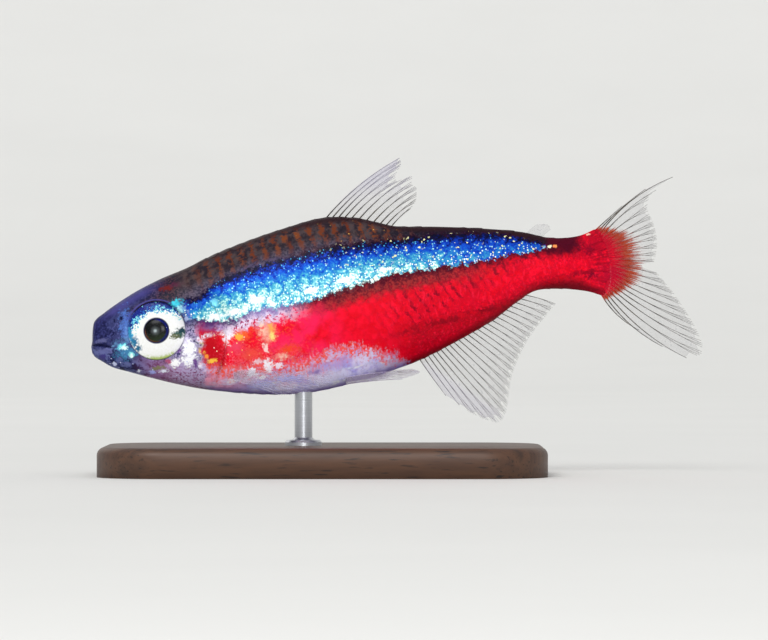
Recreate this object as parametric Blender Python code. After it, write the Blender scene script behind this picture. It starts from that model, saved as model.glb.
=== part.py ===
"""A life-size cardinal tetra, a small aquarium fish, swimming head a little low on a plain stand.

Metres, +Z up. The origin is under the middle of the whole, on the surface that the stand rests on.
The fish heads towards -X and its left side faces -Y. Its parts are modelled in the fish's own axes,
X back from the tip of the snout, Z up across the body and Y to its right, and an empty pitches
them to the swimming pose. Sizes in the fish's axes are shares of its standard length.
"""

import math

import bmesh
import bpy
from mathutils import Vector

# Driving sizes, in metres and radians
STANDARD_LENGTH = 0.035
HEAD_DOWN = math.radians(9.2)
SNOUT_AT = Vector((-0.02050, 0.0, 0.00876))
GAP = 0.0003
TAIL_SWAY = 0.0024
SWAY_FROM, SWAY_TO = 0.50, 1.16

# The body: station, height of the back, of the belly, and half the width
BODY_PROFILE = (
    (-0.003, -0.001, -0.017, 0.007),
    (0.000, 0.008, -0.023, 0.014),
    (0.004, 0.028, -0.027, 0.021),
    (0.010, 0.044, -0.032, 0.027),
    (0.030, 0.057, -0.048, 0.035),
    (0.060, 0.072, -0.062, 0.044),
    (0.100, 0.089, -0.080, 0.054),
    (0.150, 0.105, -0.101, 0.063),
    (0.200, 0.117, -0.119, 0.070),
    (0.260, 0.135, -0.135, 0.075),
    (0.330, 0.151, -0.150, 0.077),
    (0.400, 0.163, -0.157, 0.075),
    (0.475, 0.171, -0.153, 0.070),
    (0.540, 0.160, -0.144, 0.062),
    (0.575, 0.147, -0.138, 0.058),
    (0.610, 0.133, -0.131, 0.053),
    (0.690, 0.119, -0.106, 0.043),
    (0.770, 0.103, -0.075, 0.035),
    (0.850, 0.083, -0.035, 0.028),
    (0.900, 0.064, -0.036, 0.025),
    (0.950, 0.058, -0.048, 0.020),
    (1.000, 0.067, -0.064, 0.014),
    (1.030, 0.068, -0.066, 0.011),
)
FIRST_STATION, LAST_STATION = -0.003, 1.03
RINGS = 42
RING_SIDES = 26
RING_CROWDING = 1.6

# How square the sections are: the head is flat-sided round the eyes, and the trunk is oval
SQUARENESS = ((0.0, 2.1), (0.06, 2.4), (0.13, 2.8), (0.22, 2.4), (0.35, 2.1), (1.03, 2.1))

# Lines of the head, as (station, height)
MOUTH_LINE = ((-0.03, 0.003), (0.0, -0.001), (0.020, -0.004), (0.038, -0.012))
JAW_JOINT_LINE = ((0.056, -0.034), (0.070, -0.056), (0.080, -0.10))
GILL_MARGIN = (
    (0.192, 0.18),
    (0.203, 0.11),
    (0.228, 0.060),
    (0.250, 0.020),
    (0.257, -0.020),
    (0.249, -0.058),
    (0.229, -0.096),
    (0.205, -0.18),
)
GILL_COVER_FRONT = (
    (0.229, -0.096),
    (0.207, -0.088),
    (0.200, -0.060),
    (0.204, -0.020),
    (0.209, 0.020),
    (0.215, 0.047),
    (0.228, 0.060),
)
# The points of the gill margin at the top and bottom of the gill cover
COVER_TOP, COVER_BOTTOM = 2, 6
GILL_COVER_THICK = 0.0007
LIP_RADIUS = 0.00020
NOSTRILS = ((0.050, 0.038), (0.064, 0.041))
NOSTRIL_RADIUS = 0.00019
# The rear edge of the flesh: how far it bulges, half its height, and how far its foot is forward
REAR_ROUND = 0.020
REAR_HALF = 0.066
REAR_LEAN = 0.08
# The cut between trunk and tail leans, to pass behind the dorsal fin and in front of the anal fin
TAIL_START = ((0.592, -0.25), (0.620, 0.25))

LINE_STEPS = 4

# The eyes: centre, radius of the iris, how far it bulges out and in, and the pupil
EYE_AT = (0.1273, 0.0075)
EYE_LEVEL = 0.00158
EYE_RADIUS = 0.00198
EYE_OUT = 0.00066
EYE_IN = 0.00090
PUPIL_RADIUS = 0.00079
PUPIL_RAISED = 0.00008

# Fin thickness, at the rays and between them, and at the tips
RAY_THICK = 0.00080
WEB_THICK = 0.00052
TIP_THICK = 0.00036
COLUMNS_PER_RAY = 3
FIN_CLEAR = 0.00033

# Ray counts
DORSAL_RAYS = 11
ANAL_RAYS = 22
UPPER_LOBE_RAYS = 12
LOWER_LOBE_RAYS = 11
PECTORAL_RAYS = 11
PELVIC_RAYS = 8
PELVIC_SLOPE = math.radians(45)
ADIPOSE_RAYS = 4

# The stand
BASE_LENGTH, BASE_WIDTH, BASE_THICK = 0.030, 0.018, 0.0020
BASE_AT_X = -0.0050
BASE_CORNER = 0.0050
BASE_EDGE = 0.0004
ROD_RADIUS = 0.0006
ROD_STATION = 0.385
ROD_SEAT_DEPTH = 0.0012
ROD_SIDES = 16

# Colours as (red, green, blue, roughness, metallic)
FLANK_RED = (0.75, 0.03, 0.05, 0.35, 0.1)
HEAD_BLUE = (0.20, 0.22, 0.45, 0.35, 0.2)
CHEEK_SILVER = (0.75, 0.74, 0.82, 0.25, 0.5)
FLANK_BLUE = (0.03, 0.25, 0.75, 0.25, 0.4)
EYE_SILVER = (0.85, 0.88, 0.88, 0.15, 0.3)
FIN_GREY = (0.55, 0.53, 0.45, 0.4, 0.0)
STAND_WOOD = (0.12, 0.07, 0.045, 0.5, 0.0)
STAND_STEEL = (0.60, 0.60, 0.60, 0.3, 1.0)

SL = STANDARD_LENGTH


def curve_at(points, x, column=1):
    """The smooth curve through points, read at x: a cubic between neighbours, with sloped ends."""
    xs = [p[0] for p in points]
    ys = [p[column] for p in points]
    if x <= xs[0]:
        return ys[0]
    if x >= xs[-1]:
        return ys[-1]
    i = max(k for k in range(len(xs) - 1) if xs[k] <= x)

    def slope(k):
        a, b = max(k - 1, 0), min(k + 1, len(xs) - 1)
        return (ys[b] - ys[a]) / (xs[b] - xs[a])

    span = xs[i + 1] - xs[i]
    t = (x - xs[i]) / span
    m0, m1 = slope(i) * span, slope(i + 1) * span
    return (
        (2 * t**3 - 3 * t**2 + 1) * ys[i]
        + (t**3 - 2 * t**2 + t) * m0
        + (3 * t**2 - 2 * t**3) * ys[i + 1]
        + (t**3 - t**2) * m1
    )


def sway(station):
    """How far the tail has swung to the fish's right at this station, in metres."""
    share = max(0.0, (station - SWAY_FROM) / (SWAY_TO - SWAY_FROM))
    return TAIL_SWAY * share**2


def place(station, across, height):
    """A point in the fish's axes, in metres, from a station and height in shares of the length."""
    return Vector((station * SL, across + sway(station), height * SL))


def back(station):
    return curve_at(BODY_PROFILE, station, 1)


def belly(station):
    return curve_at(BODY_PROFILE, station, 2)


def half_width(station):
    return curve_at(BODY_PROFILE, station, 3)


def body_section(station, turn, inset=0.0):
    """(across in metres, height in shares) of the flank at an angle turn round the body's section."""
    shrink = inset / SL
    top, bottom = back(station) - shrink, belly(station) + shrink
    middle, half_height = (top + bottom) / 2, (top - bottom) / 2
    wide = max(half_width(station) - shrink, 0.003)
    power = 2 / curve_at(SQUARENESS, station)
    c, s = math.cos(turn), math.sin(turn)
    across = wide * SL * math.copysign(abs(c) ** power, c)
    return across, middle + half_height * math.copysign(abs(s) ** power, s)


def flank_at(station, height):
    """Half the body's width, in metres, at this station and height."""
    top, bottom = back(station), belly(station)
    middle, half_height = (top + bottom) / 2, (top - bottom) / 2
    power = curve_at(SQUARENESS, station)
    level = min(abs(height - middle) / half_height, 1.0)
    return half_width(station) * SL * (1 - level**power) ** (1 / power)


def clear_scene():
    for obj in list(bpy.data.objects):
        bpy.data.objects.remove(obj, do_unlink=True)


def new_material(name, finish):
    red, green, blue, roughness, metallic = finish
    material = bpy.data.materials.new(name)
    material.use_nodes = True
    shader = material.node_tree.nodes["Principled BSDF"]
    shader.inputs["Base Color"].default_value = (red, green, blue, 1.0)
    shader.inputs["Roughness"].default_value = roughness
    shader.inputs["Metallic"].default_value = metallic
    return material


def new_object(name, bm, material=None, parent=None):
    """A mesh object from a bmesh, with its normals facing out."""
    bmesh.ops.recalc_face_normals(bm, faces=bm.faces)
    mesh = bpy.data.meshes.new(name)
    bm.to_mesh(mesh)
    bm.free()
    obj = bpy.data.objects.new(name, mesh)
    bpy.context.scene.collection.objects.link(obj)
    if material:
        mesh.materials.append(material)
        mesh.shade_smooth()
        mesh.set_sharp_from_angle(angle=math.radians(35))
    obj.parent = parent
    return obj


def boolean(obj, cutters, operation):
    """Applies one Boolean of obj with a list of mesh objects, then removes those."""
    group = bpy.data.collections.new("cutters")
    for cutter in cutters:
        group.objects.link(cutter)
    modifier = obj.modifiers.new("cut", "BOOLEAN")
    modifier.operation = operation
    modifier.solver = "EXACT"
    modifier.operand_type = "COLLECTION"
    modifier.collection = group
    graph = bpy.context.evaluated_depsgraph_get()
    result = bpy.data.meshes.new_from_object(obj.evaluated_get(graph))
    obj.modifiers.clear()
    obj.data = result
    for cutter in cutters:
        bpy.data.objects.remove(cutter, do_unlink=True)
    bpy.data.collections.remove(group)
    return obj


def copy_of(obj, name):
    twin = obj.copy()
    twin.data = obj.data.copy()
    twin.name = name
    bpy.context.scene.collection.objects.link(twin)
    return twin


def keep_largest(obj):
    """Keeps only the largest closed surface of obj, and drops loose scraps."""
    bm = bmesh.new()
    bm.from_mesh(obj.data)
    left, islands = set(bm.verts), []
    while left:
        front = [left.pop()]
        island = set(front)
        while front:
            vert = front.pop()
            for edge in vert.link_edges:
                other = edge.other_vert(vert)
                if other in left:
                    left.discard(other)
                    island.add(other)
                    front.append(other)
        islands.append(island)
    largest = max(islands, key=len)
    scraps = [v for island in islands if island is not largest for v in island]
    bmesh.ops.delete(bm, geom=scraps, context="VERTS")
    bm.to_mesh(obj.data)
    bm.free()


def finish_node(obj, material, parent=None):
    """Gives a cut piece its material, smooth shading and parent."""
    obj.data.materials.clear()
    obj.data.materials.append(material)
    obj.data.shade_smooth()
    obj.data.set_sharp_from_angle(angle=math.radians(35))
    obj.parent = parent
    return obj


def loft(name, stations, sides, ring_point):
    """A closed skin through rings: ring_point(station, turn) gives each point."""
    bm = bmesh.new()
    turn_of = bm.verts.layers.float.new("turn")
    ring = bmesh.ops.create_circle(bm, segments=sides, radius=1.0)["verts"]
    for vert in ring:
        vert[turn_of] = math.atan2(vert.co.y, vert.co.x)
    first_edges = list(bm.edges)
    edges = first_edges
    for vert in ring:
        vert.co = ring_point(stations[0], vert[turn_of])
    for station in stations[1:]:
        made = bmesh.ops.extrude_edge_only(bm, edges=edges)["geom"]
        edges = [g for g in made if isinstance(g, bmesh.types.BMEdge)]
        for vert in (g for g in made if isinstance(g, bmesh.types.BMVert)):
            vert.co = ring_point(station, vert[turn_of])
    bmesh.ops.contextual_create(bm, geom=first_edges)
    bmesh.ops.contextual_create(bm, geom=edges)
    bmesh.ops.triangulate(bm, faces=[f for f in bm.faces if len(f.verts) == 4])
    return new_object(name, bm)


def body_stations():
    span = LAST_STATION - FIRST_STATION
    shares = [i / (RINGS - 1) for i in range(RINGS)]
    return [FIRST_STATION + span * share**RING_CROWDING for share in shares]


def body_loft(name, inset=0.0):
    def ring_point(station, turn):
        across, height = body_section(station, turn, inset)
        return place(station, across, height)

    return loft(name, body_stations(), RING_SIDES, ring_point)


def prism(name, outline, low, high):
    """An outline of (station, height) points, drawn out across the fish from low to high."""
    bm = bmesh.new()
    verts = [bm.verts.new((s * SL, low, h * SL)) for s, h in outline]
    face = bm.faces.new(verts)
    made = bmesh.ops.extrude_face_region(bm, geom=[face], use_keep_orig=True)["geom"]
    moved = [g for g in made if isinstance(g, bmesh.types.BMVert)]
    bmesh.ops.translate(bm, verts=moved, vec=(0, high - low, 0))
    return new_object(name, bm)


def smooth_line(points, steps=LINE_STEPS):
    """More points along a line, on the smooth curve through it, in order of their running number."""
    numbered = [(i, *p) for i, p in enumerate(points)]
    count = (len(points) - 1) * steps
    shares = [(len(points) - 1) * k / count for k in range(count + 1)]
    return [(curve_at(numbered, t, 1), curve_at(numbered, t, 2)) for t in shares]


def offset_loop(points, distance):
    """A closed outline grown outwards by a distance in metres, or shrunk by a negative one."""
    area = sum(a[0] * b[1] - b[0] * a[1] for a, b in zip(points, points[1:] + points[:1]))
    shift = math.copysign(distance / SL, area * distance)
    moved = []
    for i, point in enumerate(points):
        here = Vector(point)
        into = (here - Vector(points[i - 1])).normalized()
        out = (Vector(points[(i + 1) % len(points)]) - here).normalized()
        normal = Vector((into.y + out.y, -into.x - out.x)).normalized()
        mitre = max(normal.dot(Vector((out.y, -out.x))), 0.5)
        moved.append(tuple(here + normal * (shift / mitre)))
    return moved


def offset_line(points, distance):
    """The line moved sideways by a distance in metres, to the left of its direction."""
    moved = []
    for i, (s, h) in enumerate(points):
        before, after = points[max(i - 1, 0)], points[min(i + 1, len(points) - 1)]
        along = Vector((after[0] - before[0], after[1] - before[1])).normalized()
        shift = distance / SL
        moved.append((s - along.y * shift, h + along.x * shift))
    return moved


def ellipsoid(name, centre, radii, segments=16, rings=10):
    bm = bmesh.new()
    bmesh.ops.create_uvsphere(bm, u_segments=segments, v_segments=rings, radius=1.0)
    bmesh.ops.scale(bm, vec=radii, verts=bm.verts)
    bmesh.ops.translate(bm, vec=centre, verts=bm.verts)
    return new_object(name, bm)


def lip(name, height_shift):
    """A soft roll round the front of the snout, along the mouth line, half sunk in the skin."""
    line = smooth_line(MOUTH_LINE[1:])
    side = [(s, h + height_shift) for s, h in line]
    left = [place(s, -flank_at(s, h) + LIP_RADIUS * 0.4, h) for s, h in reversed(side)]
    right = [place(s, flank_at(s, h) - LIP_RADIUS * 0.4, h) for s, h in side]
    curve = bpy.data.curves.new(name, "CURVE")
    curve.dimensions = "3D"
    curve.bevel_depth = LIP_RADIUS
    curve.bevel_resolution = 2
    curve.use_fill_caps = True
    spline = curve.splines.new("POLY")
    points = left + right
    spline.points.add(len(points) - 1)
    for point, where in zip(spline.points, points):
        point.co = (*where, 1.0)
    guide = bpy.data.objects.new(name, curve)
    bpy.context.scene.collection.objects.link(guide)
    graph = bpy.context.evaluated_depsgraph_get()
    mesh = bpy.data.meshes.new_from_object(guide.evaluated_get(graph))
    bpy.data.objects.remove(guide, do_unlink=True)
    bm = bmesh.new()
    bm.from_mesh(mesh)
    bmesh.ops.remove_doubles(bm, verts=bm.verts, dist=1e-6)
    return new_object(name, bm)


def eye(name, side, grow=0.0, material=None, parent=None):
    """A lens-shaped eyeball turned from its profile, with the pupil raised. side is -1 or 1."""
    turns = 20
    arcs = 6
    profile = []
    for i in range(arcs + 1):
        angle = math.pi / 2 * i / arcs
        radius = (EYE_RADIUS + grow) * math.sin(angle)
        raised = PUPIL_RAISED if radius < PUPIL_RADIUS and not grow else 0.0
        profile.append((radius, (EYE_OUT + grow) * math.cos(angle) + raised))
    for i in range(1, arcs + 1):
        angle = math.pi / 2 * (1 - i / arcs)
        radius = (EYE_RADIUS + grow) * math.sin(angle)
        profile.append((radius, -(EYE_IN + grow) * math.cos(angle)))
    bm = bmesh.new()
    centre = Vector((EYE_AT[0] * SL, side * EYE_LEVEL, EYE_AT[1] * SL))
    verts = [bm.verts.new(centre + Vector((r, side * out, 0))) for r, out in profile]
    edges = [bm.edges.new(pair) for pair in zip(verts, verts[1:])]
    bmesh.ops.spin(
        bm, geom=edges, cent=centre, axis=(0, 1, 0), angle=2 * math.pi, steps=turns, use_merge=True
    )
    bmesh.ops.remove_doubles(bm, verts=bm.verts, dist=1e-7)
    return new_object(name, bm, material, parent)


def lerp(a, b, t):
    return a + (b - a) * t


def bowed_ray(root, tip, bow, side_bow=0.0):
    """A ray from root to tip as a function of 0 to 1, bowed by a share of its length.

    root and tip are in the fish's axes, in metres, before the tail's sway."""
    chord = tip - root
    upright = Vector((-chord.z, 0.0, chord.x))
    bend = root + chord * 0.5 + upright * bow + Vector((0, side_bow * chord.length, 0))

    def point(t):
        return root * (1 - t) ** 2 + bend * (2 * t * (1 - t)) + tip * t**2

    return point


def fin(name, rays, rows, webs, material, parent, across=Vector((0, 1, 0))):
    """A thin closed vane over a fan of rays.

    rays are functions from bowed_ray, and webs says how far out the skin between two rays reaches.
    A ray is a ridge on both faces. Both faces share one triangulation."""
    between = COLUMNS_PER_RAY
    columns = (len(rays) - 1) * between
    bm = bmesh.new()
    bmesh.ops.create_grid(bm, x_segments=columns, y_segments=rows, size=1.0)
    bmesh.ops.triangulate(bm, faces=bm.faces, quad_method="FIXED")
    column_of = bm.verts.layers.int.new("column")
    row_of = bm.verts.layers.int.new("row")
    side_of = bm.verts.layers.int.new("side")
    for vert in bm.verts:
        vert[column_of] = round((vert.co.x + 1) / 2 * columns)
        vert[row_of] = round((vert.co.y + 1) / 2 * rows)
    made = bmesh.ops.extrude_face_region(
        bm, geom=bm.faces[:] + bm.edges[:] + bm.verts[:], use_keep_orig=True
    )["geom"]
    for vert in (g for g in made if isinstance(g, bmesh.types.BMVert)):
        vert[side_of] = 1
    for vert in bm.verts:
        index, part = divmod(vert[column_of], between)
        t = vert[row_of] / rows
        reach = 1.0 if part == 0 else webs[index]
        t *= reach
        here = rays[index](t)
        if part:
            here = here.lerp(rays[index + 1](t), part / between)
            thick = lerp(WEB_THICK, TIP_THICK, t**3)
        else:
            thick = lerp(RAY_THICK, TIP_THICK, t)
        direction = 1 if vert[side_of] else -1
        vert.co = here + across * (direction * thick / 2)
        vert.co.y += sway(vert.co.x / SL)
    return new_object(name, bm, material, parent)


def fan(count, root_line, tip_line, bows, lengths=None, side_bow=0.0):
    """Rays spread evenly by number between two lines of (share, station, height, across).

    bows is a line of (share, bow), from the first ray to the last."""
    rays = []
    for i in range(count):
        share = i / (count - 1)
        root = Vector([curve_at(root_line, share, k) for k in (1, 3, 2)]) * SL
        tip = Vector([curve_at(tip_line, share, k) for k in (1, 3, 2)]) * SL
        if lengths:
            tip = root.lerp(tip, lengths[i])
        rays.append(bowed_ray(root, tip, curve_at(bows, share), side_bow))
    return rays


def flat(line):
    """A line of (share, station, height) points in the fish's middle plane."""
    return [(share, s, h, 0.0) for share, s, h in line]


def dorsal_fin(material, parent):
    clear = FIN_CLEAR / SL
    roots = [(f, s, back(s) + clear) for f, s in ((0, 0.470), (0.35, 0.514), (0.8, 0.575), (1, 0.596))]
    tips = ((0, 0.640, 0.261), (0.3, 0.648, 0.243), (0.6, 0.662, 0.212), (0.85, 0.662, 0.182), (1, 0.645, 0.161))
    worn = (1.0, 0.99, 0.97, 0.84, 0.80, 1.0, 0.93, 0.99, 0.97, 1.0, 1.0)
    webs = (0.97, 0.95, 0.88, 0.86, 0.62, 0.80, 0.70, 0.72, 0.66, 0.70)
    rays = fan(DORSAL_RAYS, flat(roots), flat(tips), ((0, 0.10), (1, 0.10)), worn)
    return fin("dorsal_fin", rays, 7, webs, material, parent)


def anal_fin(material, parent):
    clear = FIN_CLEAR / SL
    roots = [(f, s, belly(s) - clear) for f, s in ((0, 0.612), (0.3, 0.670), (0.65, 0.746), (1, 0.824))]
    tips = (
        (0, 0.655, -0.205),
        (0.10, 0.706, -0.252),
        (0.20, 0.752, -0.271),
        (0.45, 0.787, -0.186),
        (0.70, 0.826, -0.126),
        (0.88, 0.864, -0.089),
        (1, 0.892, -0.064),
    )
    webs = [0.95] * (ANAL_RAYS - 1)
    rays = fan(ANAL_RAYS, flat(roots), flat(tips), ((0, -0.02), (1, 0.06)))
    return fin("anal_fin", rays, 6, webs, material, parent)


def hypural_station(height):
    """The rounded rear edge of the flesh, where the tail fin's rays begin."""
    rounding = REAR_ROUND * (1 - (height / REAR_HALF) ** 2)
    return 1.0 + rounding - REAR_LEAN * (REAR_HALF - height)


def tail_root(share, low, high):
    height = lerp(low, high, share)
    return share, hypural_station(height) + FIN_CLEAR / SL, height


def caudal_fins(material, parent):
    steps = (0, 0.25, 0.5, 0.75, 1)
    upper_roots = [tail_root(f, 0.067, 0.005) for f in steps]
    upper_tips = (
        (0, 1.050, 0.102),
        (0.09, 1.100, 0.127),
        (0.18, 1.157, 0.142),
        (0.27, 1.106, 0.114),
        (0.36, 1.097, 0.091),
        (0.50, 1.104, 0.065),
        (0.70, 1.107, 0.036),
        (0.85, 1.104, 0.010),
        (1, 1.094, -0.014),
    )
    upper_webs = (0.98, 0.93, 0.84, 0.93, 0.95, 0.95, 0.93, 0.95, 0.94, 0.93, 0.95)
    upper_bows = ((0, 0.0), (0.09, 0.06), (0.18, 0.15), (0.36, 0.05), (1, 0.0))
    upper = fan(UPPER_LOBE_RAYS, flat(upper_roots), flat(upper_tips), upper_bows)
    lower_roots = [tail_root(f, -0.066, -0.005) for f in steps]
    lower_tips = (
        (0, 1.044, -0.140),
        (0.1, 1.088, -0.182),
        (0.2, 1.134, -0.211),
        (0.3, 1.161, -0.202),
        (0.42, 1.159, -0.172),
        (0.6, 1.145, -0.130),
        (0.8, 1.122, -0.080),
        (1, 1.096, -0.036),
    )
    lower_webs = [0.95] * (LOWER_LOBE_RAYS - 1)
    lower = fan(LOWER_LOBE_RAYS, flat(lower_roots), flat(lower_tips), ((0, -0.15), (1, 0.0)))
    fin("caudal_fin_upper", upper, 8, upper_webs, material, parent)
    fin("caudal_fin_lower", lower, 8, lower_webs, material, parent)


def adipose_fin(material, parent):
    clear = FIN_CLEAR / SL
    roots = [(f, s, back(s) + clear) for f, s in ((0, 0.853), (0.5, 0.868), (1, 0.884))]
    tips = ((0, 0.880, 0.0930), (0.5, 0.902, 0.0900), (1, 0.906, 0.0790))
    rays = fan(ADIPOSE_RAYS, flat(roots), flat(tips), ((0, 0.06), (1, 0.06)))
    return fin("adipose_fin", rays, 4, [0.99] * (ADIPOSE_RAYS - 1), material, parent)


def pectoral_fin(side, material, parent):
    """Folded back low on the flank, standing a little off it."""
    root_across = flank_at(0.276, -0.101) + 0.00040
    tip_across = flank_at(0.36, -0.110) + 0.00120
    roots = [
        (f, 0.279 - 0.004 * f, h, side * root_across / SL)
        for f, h in ((0, -0.092), (0.5, -0.101), (1, -0.110))
    ]
    tips = [
        (0, 0.446, -0.133, side * tip_across / SL),
        (0.35, 0.434, -0.147, side * (tip_across + 0.0001) / SL),
        (0.7, 0.392, -0.156, side * tip_across / SL),
        (1, 0.340, -0.152, side * (tip_across - 0.0003) / SL),
    ]
    name = "pectoral_fin_left" if side < 0 else "pectoral_fin_right"
    rays = fan(PECTORAL_RAYS, roots, tips, ((0, 0.04), (1, 0.04)), side_bow=0.03 * side)
    return fin(name, rays, 6, [0.94] * (PECTORAL_RAYS - 1), material, parent)


def pelvic_fin(side, material, parent):
    """Folded back under the belly, a little splayed."""
    tilt = Vector((0, -side * math.sin(PELVIC_SLOPE), math.cos(PELVIC_SLOPE)))
    roots = [(f, 0.487, h, side * y) for f, h, y in ((0, -0.147, 0.053), (1, -0.163, 0.037))]
    tips = [
        (0, 0.600, -0.146, side * 0.058),
        (0.5, 0.612, -0.155, side * 0.051),
        (1, 0.576, -0.163, side * 0.042),
    ]
    name = "pelvic_fin_left" if side < 0 else "pelvic_fin_right"
    rays = fan(PELVIC_RAYS, roots, tips, ((0, 0.03), (1, 0.03)))
    return fin(name, rays, 5, [0.94] * (PELVIC_RAYS - 1), material, parent, tilt)


def whole_body():
    """The flesh in one piece: the lofted body with the lips, and the fleshy roots of paired fins."""
    body = body_loft("body")
    added = [lip("upper_lip", 0.0095), lip("lower_lip", -0.0095)]
    for side in (-1, 1):
        across = flank_at(0.264, -0.101)
        added.append(
            ellipsoid(
                "pectoral_root",
                place(0.262, side * (across + 0.00012), -0.101),
                (0.00042, 0.00042, 0.00052),
            )
        )
        added.append(
            ellipsoid(
                "pelvic_root",
                place(0.466, side * 0.00092, -0.149),
                (0.00042, 0.00045, 0.00032),
            )
        )
    return boolean(body, added, "UNION")


def body_nodes(materials, parent):
    """Parts the flesh into the head, the lower jaw, the gill covers, the trunk and the tail."""
    body = whole_body()
    half_gap = GAP / 2
    wide = 0.006
    margin = smooth_line(GILL_MARGIN)
    mouth = smooth_line(MOUTH_LINE) + smooth_line(JAW_JOINT_LINE)
    head_edge = offset_line(margin, -half_gap)
    trunk_edge = offset_line(margin, half_gap)
    jaw_edge = offset_line(mouth, -half_gap)
    skull_edge = offset_line(mouth, half_gap)

    head_block = [(-0.05, 0.18), *skull_edge, (0.08, -0.18), *reversed(head_edge)]
    jaw_block = [(-0.05, -0.13), *jaw_edge]
    trunk_block = [*trunk_edge, *offset_line(TAIL_START, half_gap)]
    rear = [(hypural_station(h), h) for h in (-0.09, -0.06, -0.03, 0, 0.03, 0.06, 0.09)]
    tail_front = offset_line(TAIL_START, -half_gap)
    tail_block = [tail_front[0], (0.99, -0.25), *rear, (0.99, 0.25), tail_front[1]]

    pieces = {}
    for name, block in (
        ("head", head_block),
        ("lower_jaw", jaw_block),
        ("trunk", trunk_block),
        ("tail", tail_block),
    ):
        piece = copy_of(body, name)
        boolean(piece, [prism(name + "_block", block, -wide, wide)], "INTERSECT")
        pieces[name] = piece

    cover_loop = smooth_line(GILL_COVER_FRONT)[:-1]
    cover_loop += margin[COVER_TOP * LINE_STEPS : COVER_BOTTOM * LINE_STEPS]
    for side, label in ((-1, "left"), (1, "right")):
        low, high = sorted((side * 0.0002, side * wide))
        cover = copy_of(body, "gill_cover_" + label)
        block = prism("cover_block", offset_loop(cover_loop, -half_gap), low, high)
        boolean(cover, [block], "INTERSECT")
        boolean(cover, [body_loft("core", GILL_COVER_THICK)], "DIFFERENCE")
        keep_largest(cover)
        pieces["gill_cover_" + label] = cover
        recess = prism("recess", offset_loop(cover_loop, half_gap), low, high)
        boolean(recess, [body_loft("core", GILL_COVER_THICK + GAP)], "DIFFERENCE")
        boolean(pieces["head"], [recess], "DIFFERENCE")

    sockets = [eye("socket", side, GAP) for side in (-1, 1)]
    pits = [
        ellipsoid(
            "nostril",
            place(s, side * flank_at(s, h), h),
            (NOSTRIL_RADIUS, NOSTRIL_RADIUS * 1.2, NOSTRIL_RADIUS),
            10,
            6,
        )
        for s, h in NOSTRILS
        for side in (-1, 1)
    ]
    boolean(pieces["head"], sockets + pits, "DIFFERENCE")
    for name, piece in pieces.items():
        keep_largest(piece)
        finish_node(piece, materials[name.split("_left")[0].split("_right")[0]], parent)
    bpy.data.objects.remove(body, do_unlink=True)


def stand(wood, steel):
    """A flat base with rounded corners, and a slim rod seated in it that reaches the belly."""
    bm = bmesh.new()
    bmesh.ops.create_cube(bm, size=1.0)
    bmesh.ops.scale(bm, vec=(BASE_LENGTH, BASE_WIDTH, BASE_THICK), verts=bm.verts)
    upright = [e for e in bm.edges if abs(e.verts[0].co.z - e.verts[1].co.z) > BASE_THICK / 2]
    bmesh.ops.bevel(
        bm, geom=upright, offset=BASE_CORNER, segments=6, profile=0.5, affect="EDGES"
    )
    rim = [e for e in bm.edges if all(v.co.z > 0 for v in e.verts)]
    bmesh.ops.bevel(bm, geom=rim, offset=BASE_EDGE, segments=2, profile=0.5, affect="EDGES")
    bmesh.ops.translate(bm, vec=(BASE_AT_X, 0, BASE_THICK / 2), verts=bm.verts)
    base = new_object("stand_base", bm)

    belly_at = pose_point(ROD_STATION, belly(ROD_STATION))
    rod_top = belly_at.z - GAP
    seat = BASE_THICK - ROD_SEAT_DEPTH
    socket = cylinder("socket", belly_at.x, seat, BASE_THICK + 0.001, ROD_RADIUS + GAP)
    boolean(base, [socket], "DIFFERENCE")
    finish_node(base, wood)
    cylinder("stand_rod", belly_at.x, seat + GAP, rod_top, ROD_RADIUS, steel)


def cylinder(name, x, low, high, radius, material=None):
    bm = bmesh.new()
    bmesh.ops.create_cone(
        bm, cap_ends=True, segments=ROD_SIDES, radius1=radius, radius2=radius, depth=high - low
    )
    bmesh.ops.translate(bm, vec=(x, 0, (low + high) / 2), verts=bm.verts)
    return new_object(name, bm, material)


def pose_point(station, height):
    """Where a point of the fish's middle plane is in the model's own frame."""
    along = Vector((math.cos(HEAD_DOWN), 0, math.sin(HEAD_DOWN)))
    upright = Vector((-math.sin(HEAD_DOWN), 0, math.cos(HEAD_DOWN)))
    return SNOUT_AT + along * station * SL + upright * height * SL


def main():
    clear_scene()
    pose = bpy.data.objects.new("fish_pose", None)
    pose.location = SNOUT_AT
    pose.rotation_euler = (0, -HEAD_DOWN, 0)
    bpy.context.scene.collection.objects.link(pose)

    fin_grey = new_material("fin", FIN_GREY)
    silver = new_material("eye", EYE_SILVER)
    head_blue = new_material("head", HEAD_BLUE)
    materials = {
        "head": head_blue,
        "lower_jaw": head_blue,
        "gill_cover": new_material("gill_cover", CHEEK_SILVER),
        "trunk": new_material("trunk", FLANK_BLUE),
        "tail": new_material("tail", FLANK_RED),
    }
    body_nodes(materials, pose)
    for side, label in ((-1, "left"), (1, "right")):
        eye("eye_" + label, side, 0.0, silver, pose)
        pectoral_fin(side, fin_grey, pose)
        pelvic_fin(side, fin_grey, pose)
    dorsal_fin(fin_grey, pose)
    adipose_fin(fin_grey, pose)
    anal_fin(fin_grey, pose)
    caudal_fins(fin_grey, pose)
    stand(new_material("stand_base", STAND_WOOD), new_material("stand_rod", STAND_STEEL))


main()
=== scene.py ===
"""The looks of a life-size cardinal tetra on a plain stand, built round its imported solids.

Everything is in metres and in the model's own frame. The fish heads towards -X and its left side
faces -Y. Its own axes run back from the tip of the snout (station) and up across the body
(height), both in shares of the standard length, as in the part's source.
"""

import bisect
import functools
import math
import random
from types import SimpleNamespace

import bmesh
import bpy
from mathutils import Matrix, Vector


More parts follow.
